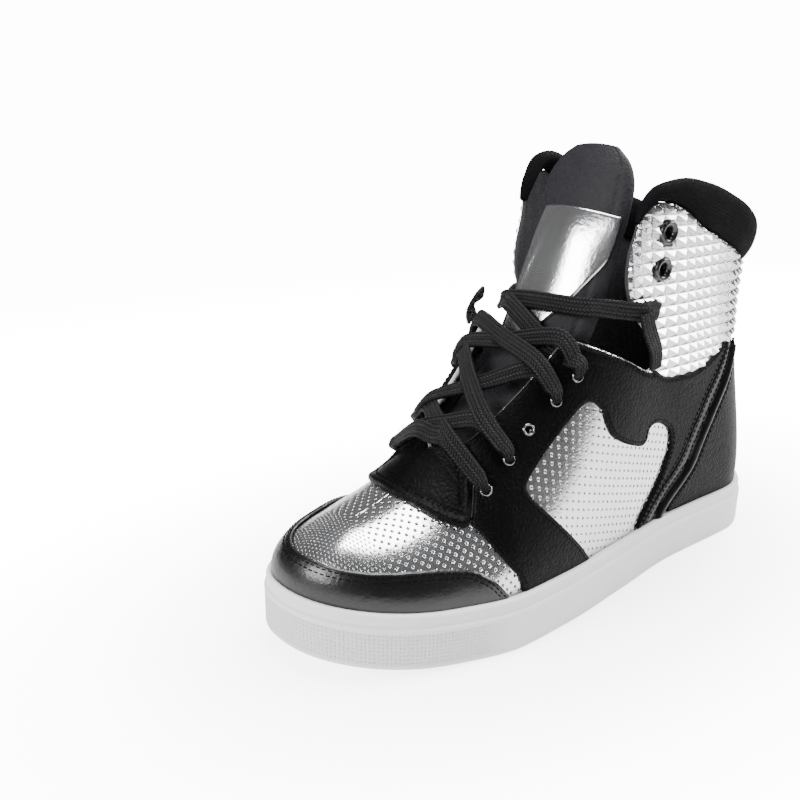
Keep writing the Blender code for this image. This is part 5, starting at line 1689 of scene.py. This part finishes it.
TOP_LACE = [
    Spot("inner", -0.085, 0.685, 0.0024), Spot("inner", -0.058, 0.690, 0.0028),
    Spot("tongue", 0.450, -1.10, 0.0033), Spot("tongue", 0.455, -0.80, 0.0038),
    Spot("tongue", 0.460, 0.00, 0.0034), Spot("tongue", 0.470, 0.80, 0.0042),
    Spot("tongue", 0.480, 1.12, 0.0042), Spot("outer", -0.055, 0.705, 0.0034),
    Spot("outer", -0.078, 0.705, 0.0026), Spot("outer", -0.098, 0.698, 0.0026),
]
OUTER_END = [
    Spot("outer", -0.060, 0.702, 0.0054), Spot("outer", -0.065, 0.670, 0.0056),
    Spot("outer", -0.075, 0.640, 0.0054), Spot("outer", -0.088, 0.612, 0.0048),
    Spot("outer", -0.094, 0.585, 0.0044), Spot("outer", -0.096, 0.560, 0.0040),
]
INNER_END = [
    Spot("inner", 0.026, 0.700, 0.0050), Spot("inner", 0.040, 0.680, 0.0066),
    Spot("inner", 0.046, 0.655, 0.0070), Spot("inner", 0.040, 0.632, 0.0062),
]


def add_loose_lace(name, spots, node):
    points, outs = zip(*[spot_at(spot) for spot in spots])
    add_lace(name, [lace(points, outs, [1.0] * len(spots))], node)


add_bars()
add_loose_lace("top_lace_braid", TOP_LACE, "lace_top")
add_loose_lace("lace_loop_outer", OUTER_END, "lace_end_outer")
add_loose_lace("lace_loop_inner", INNER_END, "lace_end_inner")

# Outsole: a white rubber tread plate cemented inside the cupsole's border. It has fine toe
# grain with a few ribs, rows of zigzag lugs, and a plate of nested ridges under the waist.

TREAD_DEPTH = 0.0012
DISC_ALONG = 0.185
PIVOT_DISC_RADIUS = 0.0230
RIB_PITCH = 0.0065
TOE_RIBS = 4
LUG_PITCH = 0.0060
LUG_TOOTH = 0.0110
LUG_SWING = 0.0030
GROOVE_HALF = 0.0010
TREAD_GRID = 0.0008
NEST = [Corner(0.052, 0.13), Corner(-0.108, 0.14), Corner(-0.048, -0.090)]
RIDGE_PITCH = 0.0024
BAND_HALF = 0.0075
BAND_ALONG = -0.235
FRAME_GROOVE_AT = 0.0030
FIELD_FROM = 0.0042
SHALLOW = 0.0006
DISC_CLEAR = 0.006
DISC_LAND = 0.0030
NEST_WIDTH = 0.0098
RIDGE_DEPTH = 0.0005


def soft_groove(distance, half=GROOVE_HALF):
    """1 in the middle of a groove and 0 outside it, with sloping walls."""
    share = np.clip((half * 1.45 - np.abs(distance)) / (half * 0.75), 0, 1)
    return share * share * (3 - 2 * share)


def tread_recess(x, y, edge):
    """How far the tread lies back from the ground, and 1 where it has fine grain."""
    center = DISC_ALONG * LENGTH
    recess = SHALLOW * soft_groove(edge + FRAME_GROOVE_AT, 0.0005)
    field = edge < -FIELD_FROM
    disc_rear = center - PIVOT_DISC_RADIUS - DISC_CLEAR
    for k in range(TOE_RIBS):
        rib = LENGTH * 0.5 - BORDER_WIDTH - 0.008 - RIB_PITCH * k
        recess = np.maximum(recess, TREAD_DEPTH * soft_groove(x - rib, 0.0008) * field)
    nest = distance_to(rounded(NEST, steps=8), x, y)
    band = np.abs((x - BAND_ALONG * LENGTH) * 0.93 - y * 0.36) - BAND_HALF
    tooth = np.abs(y / LUG_TOOTH % 1 * 2 - 1) - 0.5
    row = ((x + tooth * LUG_SWING) / LUG_PITCH % 1 - 0.5) * LUG_PITCH
    column = (y / LUG_TOOTH * 2 % 1 - 0.5) * LUG_TOOTH / 2
    lugs = np.maximum(soft_groove(row), 0.55 * soft_groove(column, 0.0005))
    clear = (x < disc_rear) & field & (nest > 0.0016) & (band > 0.0012)
    recess = np.maximum(recess, TREAD_DEPTH * lugs * clear)
    ridges = 0.5 - 0.5 * np.cos(2 * pi * nest / RIDGE_PITCH)
    recess = np.maximum(recess, RIDGE_DEPTH * ridges * (nest < 0.0) * (nest > -NEST_WIDTH))
    recess = np.maximum(recess, SHALLOW * soft_groove(nest - 0.0008, 0.0004))
    grain = field & ((x > disc_rear) | (nest < -NEST_WIDTH) | (band < 0))
    return recess, grain * 1.0


def tread_rubber():
    made = Finish("white tread rubber")
    x, y, grain = made.chart("tread")
    line = abs((y / 1.25) % 1 - 0.5).step(0.10, 0.40)
    brick = abs((x / 2.5) % 1 - 0.5).step(0.42, 0.30)
    dust = made.noise(made.place(), 0.05, 3.0)
    fine = made.noise(made.place(), 2.4, 3.0)
    normal = made.bump(line * brick * grain, 0.18, made.bump(fine, 0.03))
    color = made.mix((0.76, 0.76, 0.79), (0.86, 0.86, 0.88), dust)
    return made.done(base_color=color, roughness=0.46 + 0.10 * fine, normal=normal)


def add_outsole():
    loop = outline(BORDER_WIDTH + GAP, np.arange(300) / 300)
    low, high = loop.min(axis=0) - TREAD_GRID, loop.max(axis=0) + TREAD_GRID
    xs = np.arange(low[0], high[0], TREAD_GRID)
    ys = np.arange(low[1], high[1], TREAD_GRID)
    x, y = [grid.ravel() for grid in np.meshgrid(xs, ys, indexing="ij")]
    center, reach = DISC_ALONG * LENGTH, PIVOT_DISC_RADIUS + GAP
    from_disc = np.hypot(x - center, y)
    snap = np.abs(from_disc - reach) < TREAD_GRID * 0.55
    x = np.where(snap, center + (x - center) * reach / np.maximum(from_disc, 1e-6), x)
    y = np.where(snap, y * reach / np.maximum(from_disc, 1e-6), y)
    edge = distance_to(loop, x, y)
    recess, grain = tread_recess(x, y, edge)
    pocket = (from_disc < reach) & ~snap
    recess = np.where(pocket, TREAD_DEPTH + GAP, np.where(from_disc < reach + DISC_LAND, 0, recess))
    k, m = cell_starts(len(xs), len(ys)), len(ys)
    triangles = np.concatenate([np.c_[k, k + m + 1, k + m], np.c_[k, k + 1, k + m + 1]])
    faces, points, charts = cut(triangles, edge, np.c_[x, y, spring(x) + recess],
                                np.c_[x * 1000, y * 1000, grain])
    above = np.c_[points[:, :2], spring(points[:, 0]) + TREAD_THICKNESS]
    faces = close_back(faces, len(points))
    plate = add_mesh("outsole_tread", np.concatenate([points, above]), faces, [tread_rubber()])
    add_chart(plate, "tread", np.tile(charts, (2, 1)))
    plate.data.set_sharp_from_angle(angle=radians(40))
    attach(plate, "root")
    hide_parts("outsole")


add_outsole()

# Pivot disc: a lime rubber puck let into the tread under the ball, where a dancer turns. It is
# moulded with three ring grooves and a rounded rim, and cemented into its pocket.

DISC_SIDES = 120
DISC_ROUND = 0.0005
RING_HALF = 0.0006
RING_DEEP = 0.0007


def lime_rubber():
    made = Finish("lime rubber")
    fine = made.noise(made.place(), 1.8, 3.0)
    dust = made.noise(made.place(), 0.08, 3.0)
    color = made.mix((0.46, 0.68, 0.055), (0.56, 0.78, 0.10), dust)
    return made.done(base_color=color, roughness=0.44 + 0.12 * fine, normal=made.bump(fine, 0.04))


def add_pivot_disc():
    radius = np.linspace(0.0006, PIVOT_DISC_RADIUS - DISC_ROUND, 110)
    step = PIVOT_DISC_RADIUS / 4
    near = np.min(np.abs(radius[:, None] - step * np.arange(1, 4)), axis=1)
    height = RING_DEEP * np.clip(1 - (near / RING_HALF) ** 2, 0, 1)
    turn = np.linspace(0, pi / 2, 6)[1:]
    radius = np.concatenate([radius, PIVOT_DISC_RADIUS - DISC_ROUND + DISC_ROUND * np.sin(turn),
                             [PIVOT_DISC_RADIUS]])
    height = np.concatenate([height, DISC_ROUND * (1 - np.cos(turn)), [TREAD_DEPTH]])
    a = np.arange(DISC_SIDES) * 2 * pi / DISC_SIDES
    x = DISC_ALONG * LENGTH + radius[:, None] * np.cos(a)
    points = np.stack([x, radius[:, None] * np.sin(a), height[:, None] + 0 * x], axis=-1)
    n = DISC_SIDES
    faces = [(k * n + i, (k + 1) * n + i, (k + 1) * n + (i + 1) % n, k * n + (i + 1) % n)
             for k in range(len(radius) - 1) for i in range(n)]
    faces += end_faces(len(radius), n)
    disc = add_mesh("pivot_disc_rubber", points.reshape(-1, 3), faces, [lime_rubber()])
    disc.data.set_sharp_from_angle(angle=radians(50))
    face_out(disc)
    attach(disc, "root")
    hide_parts("pivot_disc")


add_pivot_disc()

# Insole: a die-cut foam sheet faced with dark woven cloth, laid loose on the cupsole's floor.
# Its edge is pressed up a little all round.

INSOLE_STEPS = [
    Step(0.0000, 0.0000), Step(0.0000, 0.0012), Step(0.0000, 0.0026), Step(0.0004, 0.0034),
    Step(0.0011, 0.0039), Step(0.0022, 0.0040), Step(0.0040, 0.0038), Step(0.0065, 0.0035),
    Step(0.0095, 0.0033), Step(0.0130, 0.0032), Step(0.0170, 0.0032),
]
INSOLE_SIDES = 260


def insole_cloth():
    made = Finish("insole cloth")
    x, y, _ = made.chart("cloth")
    over = abs(x / 0.9 % 1 - 0.5) * 2
    under = abs(y / 0.9 % 1 - 0.5) * 2
    weave = over * (1 - under) + under * (1 - over)
    fibre = made.noise(made.place(), 3.5, 3.0)
    color = made.mix((0.020, 0.020, 0.022), (0.075, 0.075, 0.080), weave * (0.4 + 0.6 * fibre))
    return made.done(base_color=color, roughness=0.9, normal=made.bump(weave, 0.20))


def add_insole():
    inset = SIDEWALL_THICKNESS + UPPER_WALL + 3 * GAP
    n = INSOLE_SIDES
    points = []
    for step in INSOLE_STEPS:
        edge = outline(inset + step.inset, np.arange(n) / n)
        points.append(np.c_[edge, spring(edge[:, 0]) + FLOOR_THICKNESS + GAP + step.height])
    points = np.concatenate(points)
    faces = slab_faces(len(INSOLE_STEPS), n)
    insole = add_mesh("insole_sheet", points, faces, [insole_cloth()])
    add_chart(insole, "cloth", points * 1000)
    face_out(insole)
    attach(insole, "root")
    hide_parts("insole")


add_insole()
